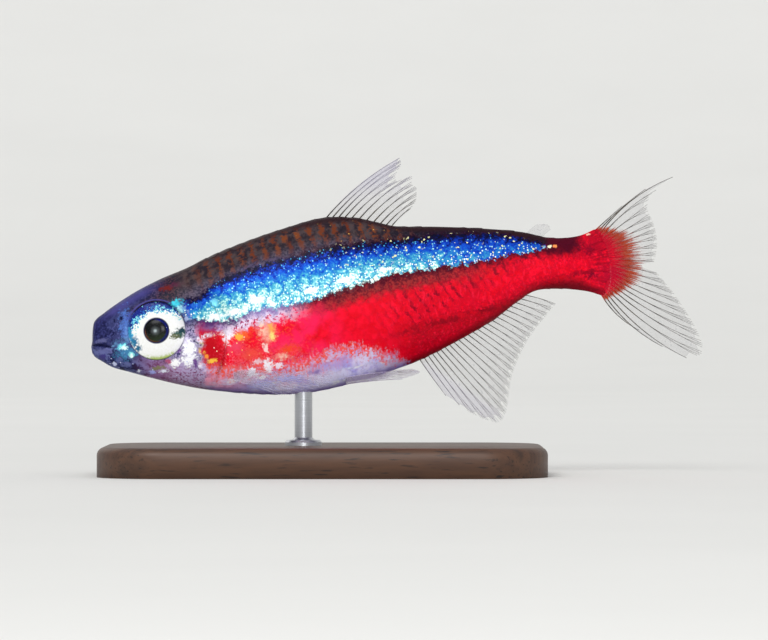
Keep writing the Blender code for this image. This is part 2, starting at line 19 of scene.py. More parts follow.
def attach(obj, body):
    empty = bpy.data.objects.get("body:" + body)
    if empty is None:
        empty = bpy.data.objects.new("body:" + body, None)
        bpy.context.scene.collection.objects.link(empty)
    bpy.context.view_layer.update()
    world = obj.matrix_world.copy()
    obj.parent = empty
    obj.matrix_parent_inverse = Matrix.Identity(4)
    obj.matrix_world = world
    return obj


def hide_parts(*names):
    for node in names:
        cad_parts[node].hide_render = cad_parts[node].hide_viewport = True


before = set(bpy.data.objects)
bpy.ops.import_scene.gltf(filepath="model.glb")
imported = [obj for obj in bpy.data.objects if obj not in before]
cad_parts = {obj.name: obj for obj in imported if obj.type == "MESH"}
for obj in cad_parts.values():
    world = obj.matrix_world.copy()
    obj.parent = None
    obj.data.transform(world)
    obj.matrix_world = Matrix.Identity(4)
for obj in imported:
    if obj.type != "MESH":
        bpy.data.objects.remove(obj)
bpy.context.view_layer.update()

MM = 0.001
ACROSS = Vector((0, 1, 0))

# The fish's size and pose, as in the part's source
SL = 0.035
HEAD_DOWN = math.radians(9.2)
SNOUT_AT = Vector((-0.02050, 0.0, 0.00876))
ALONG = Vector((math.cos(HEAD_DOWN), 0, math.sin(HEAD_DOWN)))
UPRIGHT = Vector((-math.sin(HEAD_DOWN), 0, math.cos(HEAD_DOWN)))
TAIL_SWAY = 0.0024
SWAY_FROM, SWAY_TO = 0.50, 1.16

# The body: station, height of the back, of the belly, and half the width
BODY_PROFILE = (
    (-0.003, -0.001, -0.017, 0.007),
    (0.000, 0.008, -0.023, 0.014),
    (0.004, 0.028, -0.027, 0.021),
    (0.010, 0.044, -0.032, 0.027),
    (0.030, 0.057, -0.048, 0.035),
    (0.060, 0.072, -0.062, 0.044),
    (0.100, 0.089, -0.080, 0.054),
    (0.150, 0.105, -0.101, 0.063),
    (0.200, 0.117, -0.119, 0.070),
    (0.260, 0.135, -0.135, 0.075),
    (0.330, 0.151, -0.150, 0.077),
    (0.400, 0.163, -0.157, 0.075),
    (0.475, 0.171, -0.153, 0.070),
    (0.540, 0.160, -0.144, 0.062),
    (0.575, 0.147, -0.138, 0.058),
    (0.610, 0.133, -0.131, 0.053),
    (0.690, 0.119, -0.106, 0.043),
    (0.770, 0.103, -0.075, 0.035),
    (0.850, 0.083, -0.035, 0.028),
    (0.900, 0.064, -0.036, 0.025),
    (0.950, 0.058, -0.048, 0.020),
    (1.000, 0.067, -0.064, 0.014),
    (1.030, 0.068, -0.066, 0.011),
)
SQUARENESS = ((0.0, 2.1), (0.06, 2.4), (0.13, 2.8), (0.22, 2.4), (0.35, 2.1), (1.03, 2.1))
SKIN_START, SKIN_END = -0.0035, 1.0
HEAD_ENDS, GILL_ENDS, MUZZLE_ENDS = 0.32, 0.30, 0.09
# Where the flesh starts to thin out to the tail fin, and by what share
CLOSES_FROM, CLOSED = 0.90, 0.97
# The rear edge of the flesh: how far it bulges, half its height, and how far its foot is forward
REAR_ROUND = 0.020
REAR_HALF = 0.066
REAR_LEAN = 0.08

# Lines of the head, as (station, height)
MOUTH_LINE = ((-0.03, 0.003), (0.0, -0.001), (0.020, -0.004), (0.038, -0.012))
MOUTH_CORNER = 0.030
GILL_MARGIN = (
    (0.203, 0.110),
    (0.228, 0.060),
    (0.250, 0.020),
    (0.257, -0.020),
    (0.249, -0.058),
    (0.229, -0.096),
    (0.212, -0.150),
)
CHEEK_EDGE = (
    (0.215, 0.047),
    (0.209, 0.020),
    (0.204, -0.020),
    (0.200, -0.060),
    (0.190, -0.092),
    (0.150, -0.110),
)
NOSTRILS = ((0.050, 0.038), (0.064, 0.041))
NOSTRIL_RADIUS = 0.17 * MM
# How far the head's forms stand out or go in
GILL_LIFT, GILL_GROOVE = 0.07 * MM, 0.15 * MM
CHEEK_GROOVE = 0.05 * MM
LIP_LIFT, LIP_OFF, LIP_WIDE = 0.075 * MM, 0.19 * MM, 0.13 * MM
MOUTH_DEEP, MOUTH_WIDE = 0.22 * MM, 0.055 * MM
JAW_LIFT = 0.06 * MM
NOSTRIL_DEEP, NOSTRIL_RIM = 0.09 * MM, 0.035 * MM

# The eyes: centre, level of the rim, radius, and the lens in the pupil
EYE_AT = (0.1273, 0.0075)
EYE_LEVEL = 1.72 * MM
EYE_RADIUS = 1.96 * MM
PUPIL_RADIUS = 0.80 * MM
IRIS_RISE = 0.20 * MM
PUPIL_EDGE = 0.06 * MM
PUPIL_DEEP = 0.10 * MM
LENS_SUNK, LENS_RISE = 0.05 * MM, 0.12 * MM
CORNEA_RISE = 0.60 * MM
LENS_RADIUS, CORNEA_RADIUS = PUPIL_RADIUS * 0.995, EYE_RADIUS * 1.015
EYE_DEEP = 0.85 * MM
EYE_LOOKS = (-0.10, 1.0, 0.04)
# The socket under the ball: how far round it reaches, its depth at the edge and beyond, and its rim
SOCKET_REACH, SOCKET_EDGE, SOCKET_DEEP, SOCKET_RIM = 0.8 * MM, 0.20 * MM, 0.35 * MM, 0.018 * MM
BALL_RINGS, IRIS_RINGS, LENS_RINGS, CORNEA_RINGS = 10, 26, 14, 24

# The photograph's frame, and where the tip of the snout is in it
PHOTO_WIDE, PHOTO_HIGH = 768, 640
SNOUT_PIXEL = (93, 345)
METRES_A_PIXEL = SL / 519.67
CAMERA_DISTANCE = 0.35


@functools.lru_cache(maxsize=None)
def knots(points, column):
    """The stations, values and slopes of a curve through points."""
    xs = [p[0] for p in points]
    ys = [p[column] for p in points]
    last = len(xs) - 1
    slopes = []
    for k in range(len(xs)):
        before, after = max(k - 1, 0), min(k + 1, last)
        slopes.append((ys[after] - ys[before]) / (xs[after] - xs[before]))
    return xs, ys, slopes


def curve_at(points, x, column=1):
    """The smooth curve through points, read at x."""
    xs, ys, slopes = knots(points, column)
    if x <= xs[0]:
        return ys[0]
    if x >= xs[-1]:
        return ys[-1]
    i = bisect.bisect_right(xs, x) - 1
    span = xs[i + 1] - xs[i]
    t = (x - xs[i]) / span
    m0, m1 = slopes[i] * span, slopes[i + 1] * span
    return (
        (2 * t**3 - 3 * t**2 + 1) * ys[i]
        + (t**3 - 2 * t**2 + t) * m0
        + (3 * t**2 - 2 * t**3) * ys[i + 1]
        + (t**3 - t**2) * m1
    )


def quarter(steps):
    """The angles of a quarter turn, in even steps."""
    return [math.pi / 2 * k / steps for k in range(steps + 1)]


def lerp(a, b, t):
    return a + (b - a) * t


def smooth(low, high, x):
    """0 below low, 1 above high, and an even rise between."""
    t = min(max((x - low) / (high - low), 0.0), 1.0)
    return t * t * (3 - 2 * t)


def bump(x, width):
    """A soft bump of height 1 round x = 0."""
    return math.exp(-((x / width) ** 2))


def rear_edge(height):
    """How far the rounded rear edge of the flesh is behind the tail's station, 1."""
    return REAR_ROUND * (1 - (height / REAR_HALF) ** 2) - REAR_LEAN * (REAR_HALF - height)


def sway(station):
    """How far the tail has swung to the fish's right at this station, in metres."""
    share = max(0.0, (station - SWAY_FROM) / (SWAY_TO - SWAY_FROM))
    return TAIL_SWAY * share**2


def posed(point):
    """A point of the fish's own axes, in metres and before the sway, in the model's frame."""
    station = point.x / SL
    return SNOUT_AT + ALONG * point.x + UPRIGHT * point.z + Vector((0, point.y + sway(station), 0))


class Station:
    """The body's section at one station."""

    def __init__(self, station):
        self.at = station
        self.top = curve_at(BODY_PROFILE, station, 1)
        self.bottom = curve_at(BODY_PROFILE, station, 2)
        self.half = curve_at(BODY_PROFILE, station, 3) * SL
        self.power = curve_at(SQUARENESS, station)
        self.middle = (self.top + self.bottom) / 2
        self.half_height = (self.top - self.bottom) / 2

    def rim(self, turn):
        """(across in metres, height) at an angle turn round the section."""
        c, s = math.cos(turn), math.sin(turn)
        across = self.half * math.copysign(abs(c) ** (2 / self.power), c)
        return across, self.middle + self.half_height * math.copysign(abs(s) ** (2 / self.power), s)

    def flank(self, height):
        """Half the body's width at this height, in metres."""
        level = min(abs(height - self.middle) / self.half_height, 1.0)
        return self.half * (1 - level**self.power) ** (1 / self.power)


def eye_distance(station, height):
    """Metres from the middle of the eye, seen from the side."""
    return math.hypot(station - EYE_AT[0], height - EYE_AT[1]) * SL


@functools.lru_cache(maxsize=None)
def by_height(line):
    """A line of (station, height) from top to bottom, to be read by how low a point is."""
    return tuple((-h, s) for s, h in line)


def line_gap(line, station, height):
    """Metres that a point is behind a line given as (station, height) from top to bottom."""
    return (station - curve_at(by_height(line), -height)) * SL


def head_relief(station, height):
    """How far the skin stands out at this place, in metres: gill covers, lips, nostrils, jaw."""
    out = 0.0
    if station < GILL_ENDS:
        behind = line_gap(GILL_MARGIN, station, height)
        fade = smooth(-0.125, -0.085, height) * smooth(0.085, 0.050, height)
        raised = smooth(-1.6 * MM, -0.15 * MM, behind) if behind < 0 else 0.0
        out += GILL_LIFT * raised * fade
        groove = smooth(-0.04 * MM, 0.05 * MM, behind) * (1 - smooth(0.15 * MM, 0.9 * MM, behind))
        out -= GILL_GROOVE * fade * groove
        cheek = line_gap(CHEEK_EDGE, station, height)
        cheek_fade = smooth(-0.112, -0.095, height) * smooth(0.060, 0.040, height)
        out -= CHEEK_GROOVE * cheek_fade * bump(cheek, 0.09 * MM)
    if station < MUZZLE_ENDS:
        mouth = (height - curve_at(MOUTH_LINE, station)) * SL
        lips = smooth(MOUTH_CORNER + 0.012, MOUTH_CORNER, station)
        out += LIP_LIFT * lips * (bump(mouth - LIP_OFF, LIP_WIDE) + bump(mouth + LIP_OFF, LIP_WIDE))
        out -= MOUTH_DEEP * lips * bump(mouth, MOUTH_WIDE)
        # The upper jaw's bone runs down and back from the corner of the mouth
        jaw = ((height + 0.012) + (station - 0.034) * 1.05) * SL
        jaw_fade = smooth(0.028, 0.036, station) * smooth(0.070, 0.055, station)
        out += JAW_LIFT * jaw_fade * bump(jaw - 0.16 * MM, 0.17 * MM)
        out -= JAW_LIFT * jaw_fade * bump(jaw + 0.12 * MM, 0.07 * MM)
        for where in NOSTRILS:
            away = math.hypot(station - where[0], height - where[1]) * SL
            out -= NOSTRIL_DEEP * bump(away, NOSTRIL_RADIUS * 0.62)
            out += NOSTRIL_RIM * bump(away - NOSTRIL_RADIUS * 1.35, 0.07 * MM)
    return out


def eye_socket(station, height, across):
    """The flank pushed in under the eyeball, with a soft rim round it."""
    away = eye_distance(station, height)
    if away > EYE_RADIUS + SOCKET_REACH:
        return across
    sunk = EYE_LEVEL - SOCKET_EDGE - SOCKET_DEEP * smooth(EYE_RADIUS, EYE_RADIUS * 0.6, away)
    share = smooth(EYE_RADIUS - 0.07 * MM, EYE_RADIUS + 0.05 * MM, away)
    rim = SOCKET_RIM * bump(away - EYE_RADIUS - 0.12 * MM, 0.10 * MM)
    return lerp(min(sunk, across), across + rim, share)


def skin_point(section, turn):
    """A point of the finished skin in the fish's own axes."""
    across, height = section.rim(turn)
    station = section.at
    side = math.copysign(1.0, across)
    wide = abs(across)
    if station < HEAD_ENDS:
        steep = wide / max(section.half, 1e-6)
        wide += head_relief(station, height) * smooth(0.0, 0.35, steep)
        wide = max(eye_socket(station, height, wide), 0.0)
    closing = smooth(CLOSES_FROM, SKIN_END, station)
    station += closing * rear_edge(height)
    wide *= 1 - CLOSED * closing
    return Vector((station * SL, side * wide, height * SL))


def only_verts(made):
    """The vertices among what a bmesh operator made."""
    return [g for g in made if isinstance(g, bmesh.types.BMVert)]


def new_piece(name, bm, material, replaced=()):
    """A finished piece from a bmesh, riding on the one rigid body."""
    bmesh.ops.recalc_face_normals(bm, faces=bm.faces)
    mesh = bpy.data.meshes.new(name)
    bm.to_mesh(mesh)
    bm.free()
    piece = bpy.data.objects.new(name, mesh)
    bpy.context.scene.collection.objects.link(piece)
    mesh.shade_smooth()
    if material:
        mesh.materials.append(material)
    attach(piece, "root")
    if replaced:
        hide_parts(*replaced)
    return piece


# Skin

SKIN_AROUND = 240
SKIN_ALONG = 400
SKIN_CROWDING = 1.75


def skin_station(share):
    """The station of a ring of the skin: the rings crowd towards the snout."""
    return SKIN_START + (SKIN_END - SKIN_START) * share**SKIN_CROWDING


def make_skin(material):
    """One closed skin over the head, jaw, gill covers, trunk and tail."""
    bm = bmesh.new()
    bmesh.ops.create_grid(bm, x_segments=SKIN_AROUND, y_segments=SKIN_ALONG, size=1.0)
    seam = [v for v in bm.verts if max(abs(v.co.x), abs(v.co.y)) > 0.9999]
    rings = {}
    for vert in bm.verts:
        ring = round((vert.co.y + 1) / 2 * SKIN_ALONG)
        if ring not in rings:
            rings[ring] = Station(skin_station(ring / SKIN_ALONG))
        section = rings[ring]
        if ring in (0, SKIN_ALONG):
            tip = rear_edge(section.middle) if ring else 0.0
            vert.co = posed(Vector(((section.at + tip) * SL, 0, section.middle * SL)))
        else:
            vert.co = posed(skin_point(section, (vert.co.x + 0.5) * math.pi))
    bmesh.ops.remove_doubles(bm, verts=seam, dist=1e-9)
    flesh = ("head", "lower_jaw", "gill_cover_left", "gill_cover_right", "trunk", "tail")
    return new_piece("skin", bm, material, flesh)


# Scales

SCALE_PITCH = 0.0255
ROW_PITCH = ((0.15, 0.0210), (0.45, 0.0245), (0.70, 0.0205), (0.95, 0.0150))
ROWS_EACH_WAY = 9
SCALE_LONG = 1.55
SCALE_HIGH = 0.60
SCALE_COLUMNS, SCALE_ROWS = 4, 4
SCALE_SUNK, SCALE_LIFT = 0.020 * MM, 0.036 * MM
SCALE_THICK, SCALE_CURL = 0.010 * MM, 0.004 * MM
# How much of a row a scale keeps inside the skin's edge, and how far it stays behind the gill cover
SCALE_MARGIN, SCALE_BEHIND, NAPE_HEIGHT = 0.35, 0.10 * MM, 0.085
# How much closer the scales sit on the tail, and how rounded their rear edge is
SCALE_CROWDING, SCALE_ARC = 0.12, 0.26
SCALE_MAPS = ("scale", "own", "OFBake")
SCALES_FROM, SCALES_TO = 0.19, 0.985
BAKE_PATCH = 0.003
ARC_STEPS = 48

arcs = {}
sections = {}


def near_section(station):
    """The section at a station, kept for reuse."""
    key = round(station * 2500)
    if key not in sections:
        sections[key] = Station(key / 2500)
    return sections[key]


def arc_at(station, distance):
    """The turn round the section at an arc distance up from its widest level, None past its edge."""
    key = round(station * 400)
    if key not in arcs:
        section = Station(key / 400)
        table = []
        for way in (1, -1):
            run, before, steps = 0.0, None, []
            for k in range(ARC_STEPS + 1):
                turn = way * (math.pi / 2) * (k / ARC_STEPS)
                across, height = section.rim(turn)
                here = Vector((across / SL, height))
                run += (here - before).length if before is not None else 0.0
                before = here
                steps.append((run, turn))
            table.append(steps)
        arcs[key] = table
    steps = arcs[key][0 if distance >= 0 else 1]
    far = abs(distance)
    if far >= steps[-1][0]:
        return None
    k = next(i for i in range(len(steps)) if steps[i][0] > far)
    (d0, t0), (d1, t1) = steps[k - 1], steps[k]
    return lerp(t0, t1, (far - d0) / (d1 - d0))


def scale_spot(station, distance, side, lift):
    """A point lifted off the skin, on one side, at an arc distance up from the widest level."""
    turn = arc_at(station, distance)
    if turn is None:
        turn = math.copysign(math.pi / 2, distance)
    section = near_section(station)
    turn = turn if side > 0 else math.pi - turn
    point = skin_point(section, turn)
    aside, up = max(section.half, 1e-5), section.half_height * SL
    outward = Vector((0, math.cos(turn) / aside, math.sin(turn) / up))
    return posed(point + outward.normalized() * lift)


def scale_pattern():
    """One flat scale to copy: 0 to 1 back along X, -1 to 1 across on Y, its underside at Z = -1."""
    bm = bmesh.new()
    bmesh.ops.create_grid(bm, x_segments=SCALE_COLUMNS, y_segments=SCALE_ROWS, size=1.0)
    bmesh.ops.scale(bm, vec=(0.5, 1, 1), verts=bm.verts)
    bmesh.ops.translate(bm, vec=(0.5, 0, 0), verts=bm.verts)
    whole = bm.faces[:] + bm.edges[:] + bm.verts[:]
    made = bmesh.ops.extrude_face_region(bm, geom=whole, use_keep_orig=True)["geom"]
    bmesh.ops.translate(bm, verts=only_verts(made), vec=(0, 0, -1))
    flat_map, _, _ = [bm.loops.layers.uv.new(name) for name in SCALE_MAPS]
    for face in bm.faces:
        for loop in face.loops:
            loop[flat_map].uv = (loop.vert.co.x, (loop.vert.co.y + 1) / 2)
    mesh = bpy.data.meshes.new("scale_pattern")
    bm.to_mesh(mesh)
    bm.free()
    return mesh


def scale_fits(station, row):
    """Whether a scale rooted here stays on the flank and behind the gill cover."""
    pitch = curve_at(ROW_PITCH, station)
    middle = station + SCALE_PITCH * SCALE_LONG / 2
    if arc_at(middle, row * pitch + math.copysign(pitch * SCALE_MARGIN, row or 1)) is None:
        return False
    point = skin_point(near_section(station), arc_at(station, row * pitch) or 0.0)
    height = point.z / SL
    return line_gap(GILL_MARGIN, station, height) >= SCALE_BEHIND or height >= NAPE_HEIGHT


def scale_places(draw):
    """(station, row, length, tone) of each scale of one side, in staggered rows."""
    for row in range(-ROWS_EACH_WAY, ROWS_EACH_WAY + 1):
        station = SCALES_FROM + (SCALE_PITCH / 2 if row % 2 else 0.0)
        while station < SCALES_TO - SCALE_PITCH:
            if scale_fits(station, row):
                yield station, row, SCALE_PITCH * SCALE_LONG * draw.uniform(0.96, 1.04), draw.random()
            station += SCALE_PITCH * (1 - SCALE_CROWDING * smooth(0.6, 0.95, station))


def make_scales(material):
    """Overlapping scales down each side, joined in one mesh a side."""
    pattern = scale_pattern()
    for side, label in ((-1, "left"), (1, "right")):
        places = list(scale_places(random.Random(31 + side)))
        bm = bmesh.new()
        for _ in places:
            bm.from_mesh(pattern, face_normals=False, vertex_normals=False)
        for index, vert in enumerate(bm.verts):
            station, row, long, _ = places[index // len(pattern.vertices)]
            back, across, layer = vert.co
            here = station + long * back * (1 - SCALE_ARC * across**2)
            lift = lerp(-SCALE_SUNK, SCALE_LIFT, back) - SCALE_CURL * across**2 + layer * SCALE_THICK
            up = curve_at(ROW_PITCH, here) * (row + across * SCALE_HIGH)
            vert.co = scale_spot(here, up, side, lift)
        flat_map, own_map, bake_map = [bm.loops.layers.uv[name] for name in SCALE_MAPS]
        for index, face in enumerate(bm.faces):
            station, row, _, tone = places[index // len(pattern.polygons)]
            # The skin's unwrap: stations along U, and each side in its own half of V
            root_u = 0.02 + 0.96 * station
            root_v = 0.25 + 0.90 * row * curve_at(ROW_PITCH, station) + (0.5 if side > 0 else 0.0)
            for loop in face.loops:
                u, v = loop[flat_map].uv
                loop[own_map].uv = (tone, 0.0)
                loop[bake_map].uv = (root_u + BAKE_PATCH * u, root_v + BAKE_PATCH * (v - 0.5))
        piece = new_piece("scales_" + label, bm, material, ())
        piece.data.set_sharp_from_angle(angle=math.radians(40))
    bpy.data.meshes.remove(pattern)


# Stand

BASE_MIDDLE, BASE_LONG, BASE_WIDE, BASE_THICK = -0.0050, 0.030, 0.018, 0.0020
BASE_CORNER, BASE_ROUND = 0.0045, 0.00055
ROD_AT, ROD_RADIUS, COLLAR_RADIUS = 0.385, 0.0006, 0.00125
ROD_SUNK, ROD_SIDES = 0.35 * MM, 64


def make_stand(wood, steel):
    """The base with rounded ends and the rod in its collar, up to the fish's belly."""
    bm = bmesh.new()
    bmesh.ops.create_cube(bm, size=1.0)
    bmesh.ops.scale(bm, vec=(BASE_LONG, BASE_WIDE, BASE_THICK), verts=bm.verts)
    bmesh.ops.translate(bm, vec=(BASE_MIDDLE, 0, BASE_THICK / 2), verts=bm.verts)
    corners = [e for e in bm.edges if abs(e.verts[0].co.z - e.verts[1].co.z) > BASE_THICK / 2]
    bmesh.ops.bevel(
        bm, geom=corners, offset=BASE_CORNER, segments=16, profile=0.5, affect="EDGES", material=-1
    )
    rim = [e for e in bm.edges if all(v.co.z > BASE_THICK * 0.9 for v in e.verts)]
    bmesh.ops.bevel(
        bm, geom=rim, offset=BASE_ROUND, segments=6, profile=0.5, affect="EDGES", material=-1
    )
    new_piece("stand_base_round", bm, wood, ("stand_base",))

    section = Station(ROD_AT)
    foot = posed(Vector((ROD_AT * SL, 0, section.bottom * SL)))
    top = foot.z + ROD_SUNK
    # The collar's chamfer and the fillet at the rod's foot, as (radius, height above the base)
    outline = [(0.0, -0.0001), (COLLAR_RADIUS, -0.0001), (COLLAR_RADIUS, 0.00022)]
    outline += [(COLLAR_RADIUS - 0.00012, 0.00036), (ROD_RADIUS + 0.00016, 0.00040)]
    outline += [(ROD_RADIUS, 0.00054)]
    outline = [(radius, BASE_THICK + rise) for radius, rise in outline]
    bm = turned(outline + [(ROD_RADIUS, top), (0.0, top)], ROD_SIDES)
    bmesh.ops.translate(bm, vec=(foot.x, 0, 0), verts=bm.verts)
    rod = new_piece("stand_rod_turned", bm, steel, ("stand_rod",))
    rod.data.set_sharp_from_angle(angle=math.radians(35))


# Fins

def bowed_ray(root, tip, bow, side_bow=0.0):
    """A ray from root to tip as a function of 0 to 1, bowed by a share of its length."""
    chord = tip - root
    upright = Vector((-chord.z, 0.0, chord.x))
    bend = root + chord * 0.5 + upright * bow + Vector((0, side_bow * chord.length, 0))

    def point(t):
        return root * (1 - t) ** 2 + bend * (2 * t * (1 - t)) + tip * t**2

    return point


def fan(count, root_line, tip_line, bows, lengths=None, side_bow=0.0):
    """Rays spread evenly by number between two lines of (share, station, height, across).

    bows is a line of (share, bow), from the first ray to the last."""
    root_line, tip_line = tuple(root_line), tuple(tip_line)
    rays = []
    for i in range(count):
        share = i / (count - 1)
        root = Vector([curve_at(root_line, share, k) for k in (1, 3, 2)]) * SL
        tip = Vector([curve_at(tip_line, share, k) for k in (1, 3, 2)]) * SL
        if lengths:
            tip = root.lerp(tip, lengths[i])
        rays.append(bowed_ray(root, tip, curve_at(bows, share), side_bow))
    return rays


def flat(line):
    """A line of (share, station, height) points in the fish's middle plane."""
    return [(share, s, h, 0.0) for share, s, h in line]


ROOT_SUNK = 0.012
STEPS_A_RAY = 14
FORK_AT = 0.42
SECOND_FORK_AT = 0.74
FORK_STRAY = 0.05
BRANCH_STRAY = 0.03
# How far the first fork carries a branch aside, and the second, in shares of its full spread
FIRST_SPREAD, SECOND_SPREAD = 0.62, 0.38
# A ray narrows to its tip, at each fork and at every other joint
RAY_TAPER = 0.62
FIRST_THINS, SECOND_THINS = 0.28, 0.20
RAY_JOINT = 0.86
RAY_SIDES_STEP = 1


def ray_splines(rays, seed, forked_from=2, spread=0.30):
    """Paths of each ray with its branches, as lists of (point, radius share).

    A branched ray splits in two, and each half again near the tip, and the branches of one ray
    keep between it and its neighbours."""
    draw = random.Random(seed)
    paths = []
    count = len(rays)
    for i, ray in enumerate(rays):
        before = rays[max(i - 1, 0)]
        after = rays[min(i + 1, count - 1)]
        branched = i >= forked_from
        fork = FORK_AT + draw.uniform(-FORK_STRAY, FORK_STRAY)
        second = SECOND_FORK_AT + draw.uniform(-FORK_STRAY, FORK_STRAY)
        # Each branch: its side, how it goes with the second fork, and where it leaves the ray
        branches = ((-1, 1.0, 0), (-1, -0.75, second), (1, -0.75, second), (1, 1.0, fork))
        for side, turn, start in branches if branched else ((0, 1.0, 0),):
            wobble = draw.uniform(-BRANCH_STRAY, BRANCH_STRAY)
            path = []
            for k in range(STEPS_A_RAY + 1):
                t = lerp(start, 1.0, k / STEPS_A_RAY)
                first = smooth(fork, 1.0, t) * FIRST_SPREAD
                later = smooth(second, 1.0, t) * SECOND_SPREAD
                off = side * abs(first + later * turn) * spread + wobble * t * branched
                other = after if off > 0 else before
                point = ray(t).lerp(other(t), abs(off))
                size = 1.0 - RAY_TAPER * t
                if branched:
                    size *= 1 - FIRST_THINS * smooth(fork - 0.06, fork + 0.06, t)
                    size *= 1 - SECOND_THINS * smooth(second - 0.05, second + 0.05, t)
                path.append((point, size))
            paths.append(path)
    return paths


def make_rays(name, paths, radius, material, replaced):
    """The rays of one fin: tapered, jointed tubes along the paths, joined in one mesh."""
    curve = bpy.data.curves.new(name, "CURVE")
    curve.dimensions = "3D"
    curve.bevel_depth = radius
    curve.bevel_resolution = RAY_SIDES_STEP
    curve.use_fill_caps = True
    for path in paths:
        spline = curve.splines.new("POLY")
        spline.points.add(len(path) - 1)
        for k, (spot, (point, size)) in enumerate(zip(spline.points, path)):
            spot.co = (*posed(point), 1.0)
            spot.radius = size * (RAY_JOINT if k % 2 else 1.0)
    guide = bpy.data.objects.new(name + "_guide", curve)
    bpy.context.scene.collection.objects.link(guide)
    graph = bpy.context.evaluated_depsgraph_get()
    mesh = bpy.data.meshes.new_from_object(guide.evaluated_get(graph))
    bpy.data.objects.remove(guide, do_unlink=True)
    bm = bmesh.new()
    bm.from_mesh(mesh)
    bmesh.ops.remove_doubles(bm, verts=bm.verts, dist=1e-7)
    return new_piece(name, bm, material, replaced)


WEB_THICK = 0.04 * MM
WEB_COLUMNS = 3
# The columns that take up one unit of the web's flat map
WEB_MAP = 9
# How far out the web runs along a ray, and how far its edge strays between two
WEB_REACH = 0.985
WEB_WORN = (-0.03, 0.02)


def make_web(name, rays, webs, material, replaced, seed, rows=16, across=ACROSS):
    """The thin skin between the rays, closed round its edge, with a worn trailing edge."""
    draw = random.Random(seed)
    columns = (len(rays) - 1) * WEB_COLUMNS
    torn = [[draw.uniform(*WEB_WORN) for _ in range(WEB_COLUMNS)] for _ in rays]
    bm = bmesh.new()
    bmesh.ops.create_grid(bm, x_segments=columns, y_segments=rows, size=1.0)
    bmesh.ops.triangulate(bm, faces=bm.faces, quad_method="FIXED")
    own_map = bm.loops.layers.uv.new("fin")
    column_of = bm.verts.layers.int.new("column")
    row_of = bm.verts.layers.int.new("row")
    side_of = bm.verts.layers.int.new("side")
    for vert in bm.verts:
        vert[column_of] = round((vert.co.x + 1) / 2 * columns)
        vert[row_of] = round((vert.co.y + 1) / 2 * rows)
    made = bmesh.ops.extrude_face_region(
        bm, geom=bm.faces[:] + bm.edges[:] + bm.verts[:], use_keep_orig=True
    )["geom"]
    for vert in only_verts(made):
        vert[side_of] = 1
    for vert in bm.verts:
        index, part = divmod(vert[column_of], WEB_COLUMNS)
        t = vert[row_of] / rows
        if part == 0:
            here = rays[index](t * WEB_REACH)
        else:
            reach = webs[index] + torn[index][part] * t
            here = rays[index](t * reach).lerp(rays[index + 1](t * reach), part / WEB_COLUMNS)
        direction = 1 if vert[side_of] else -1
        vert.co = posed(here + across * (direction * WEB_THICK / 2))
    for face in bm.faces:
        for loop in face.loops:
            loop[own_map].uv = (loop.vert[column_of] / WEB_MAP, loop.vert[row_of] / rows)
    return new_piece(name, bm, material, replaced)


def dorsal_rays():
    """The spread back fin, its tips worn to different lengths."""
    roots = [
        (f, s, curve_at(BODY_PROFILE, s, 1) - ROOT_SUNK)
        for f, s in ((0, 0.470), (0.35, 0.514), (0.8, 0.575), (1, 0.596))
    ]
    tips = (
        (0, 0.640, 0.261),
        (0.3, 0.648, 0.243),
        (0.6, 0.662, 0.212),
        (0.85, 0.662, 0.182),
        (1, 0.645, 0.161),
    )
    worn = (1.0, 0.99, 0.97, 0.84, 0.80, 1.0, 0.93, 0.99, 0.97, 1.0, 1.0)
    return fan(11, flat(roots), flat(tips), ((0, 0.10), (1, 0.10)), worn)


DORSAL_WEBS = (0.97, 0.95, 0.88, 0.86, 0.62, 0.80, 0.70, 0.72, 0.66, 0.70)


def anal_rays():
    """The long fin under the tail, its front rays the longest."""
    roots = [
        (f, s, curve_at(BODY_PROFILE, s, 2) + ROOT_SUNK)
        for f, s in ((0, 0.612), (0.3, 0.670), (0.65, 0.746), (1, 0.824))
    ]
    tips = (
        (0, 0.655, -0.205),
        (0.10, 0.706, -0.252),
        (0.20, 0.752, -0.271),
        (0.45, 0.787, -0.186),
        (0.70, 0.826, -0.126),
        (0.88, 0.864, -0.089),
        (1, 0.892, -0.064),
    )
    return fan(24, flat(roots), flat(tips), ((0, -0.02), (1, 0.06)))


def tail_root(share, low, high):
    """A root of the tail fin, just inside the rounded end of the flesh."""
    height = lerp(low, high, share)
    return share, 0.990 + rear_edge(height), height


def caudal_rays():
    """The two lobes of the tail fin, each from its outer edge inwards."""
    steps = (0, 0.25, 0.5, 0.75, 1)
    upper_tips = (
        (0, 1.050, 0.102),
        (0.09, 1.100, 0.127),
        (0.18, 1.157, 0.142),
        (0.27, 1.106, 0.114),
        (0.36, 1.097, 0.091),
        (0.50, 1.104, 0.065),
        (0.70, 1.107, 0.036),
        (0.85, 1.104, 0.010),
        (1, 1.094, -0.014),
    )
    upper_bows = ((0, 0.0), (0.09, 0.06), (0.18, 0.15), (0.36, 0.05), (1, 0.0))
    upper_roots = [tail_root(f, 0.064, 0.003) for f in steps]
    upper = fan(12, flat(upper_roots), flat(upper_tips), upper_bows)
    lower_tips = (
        (0, 1.044, -0.140),
        (0.1, 1.088, -0.182),
        (0.2, 1.134, -0.211),
        (0.3, 1.161, -0.202),
        (0.42, 1.159, -0.172),
        (0.6, 1.145, -0.130),
        (0.8, 1.122, -0.080),
        (1, 1.096, -0.036),
    )
    lower_roots = [tail_root(f, -0.061, -0.003) for f in steps]
    lower = fan(12, flat(lower_roots), flat(lower_tips), ((0, -0.15), (1, 0.0)))
    return upper, lower


UPPER_WEBS = (0.98, 0.93, 0.84, 0.93, 0.95, 0.95, 0.93, 0.95, 0.94, 0.93, 0.95)
LOWER_WEBS = [0.95] * 11


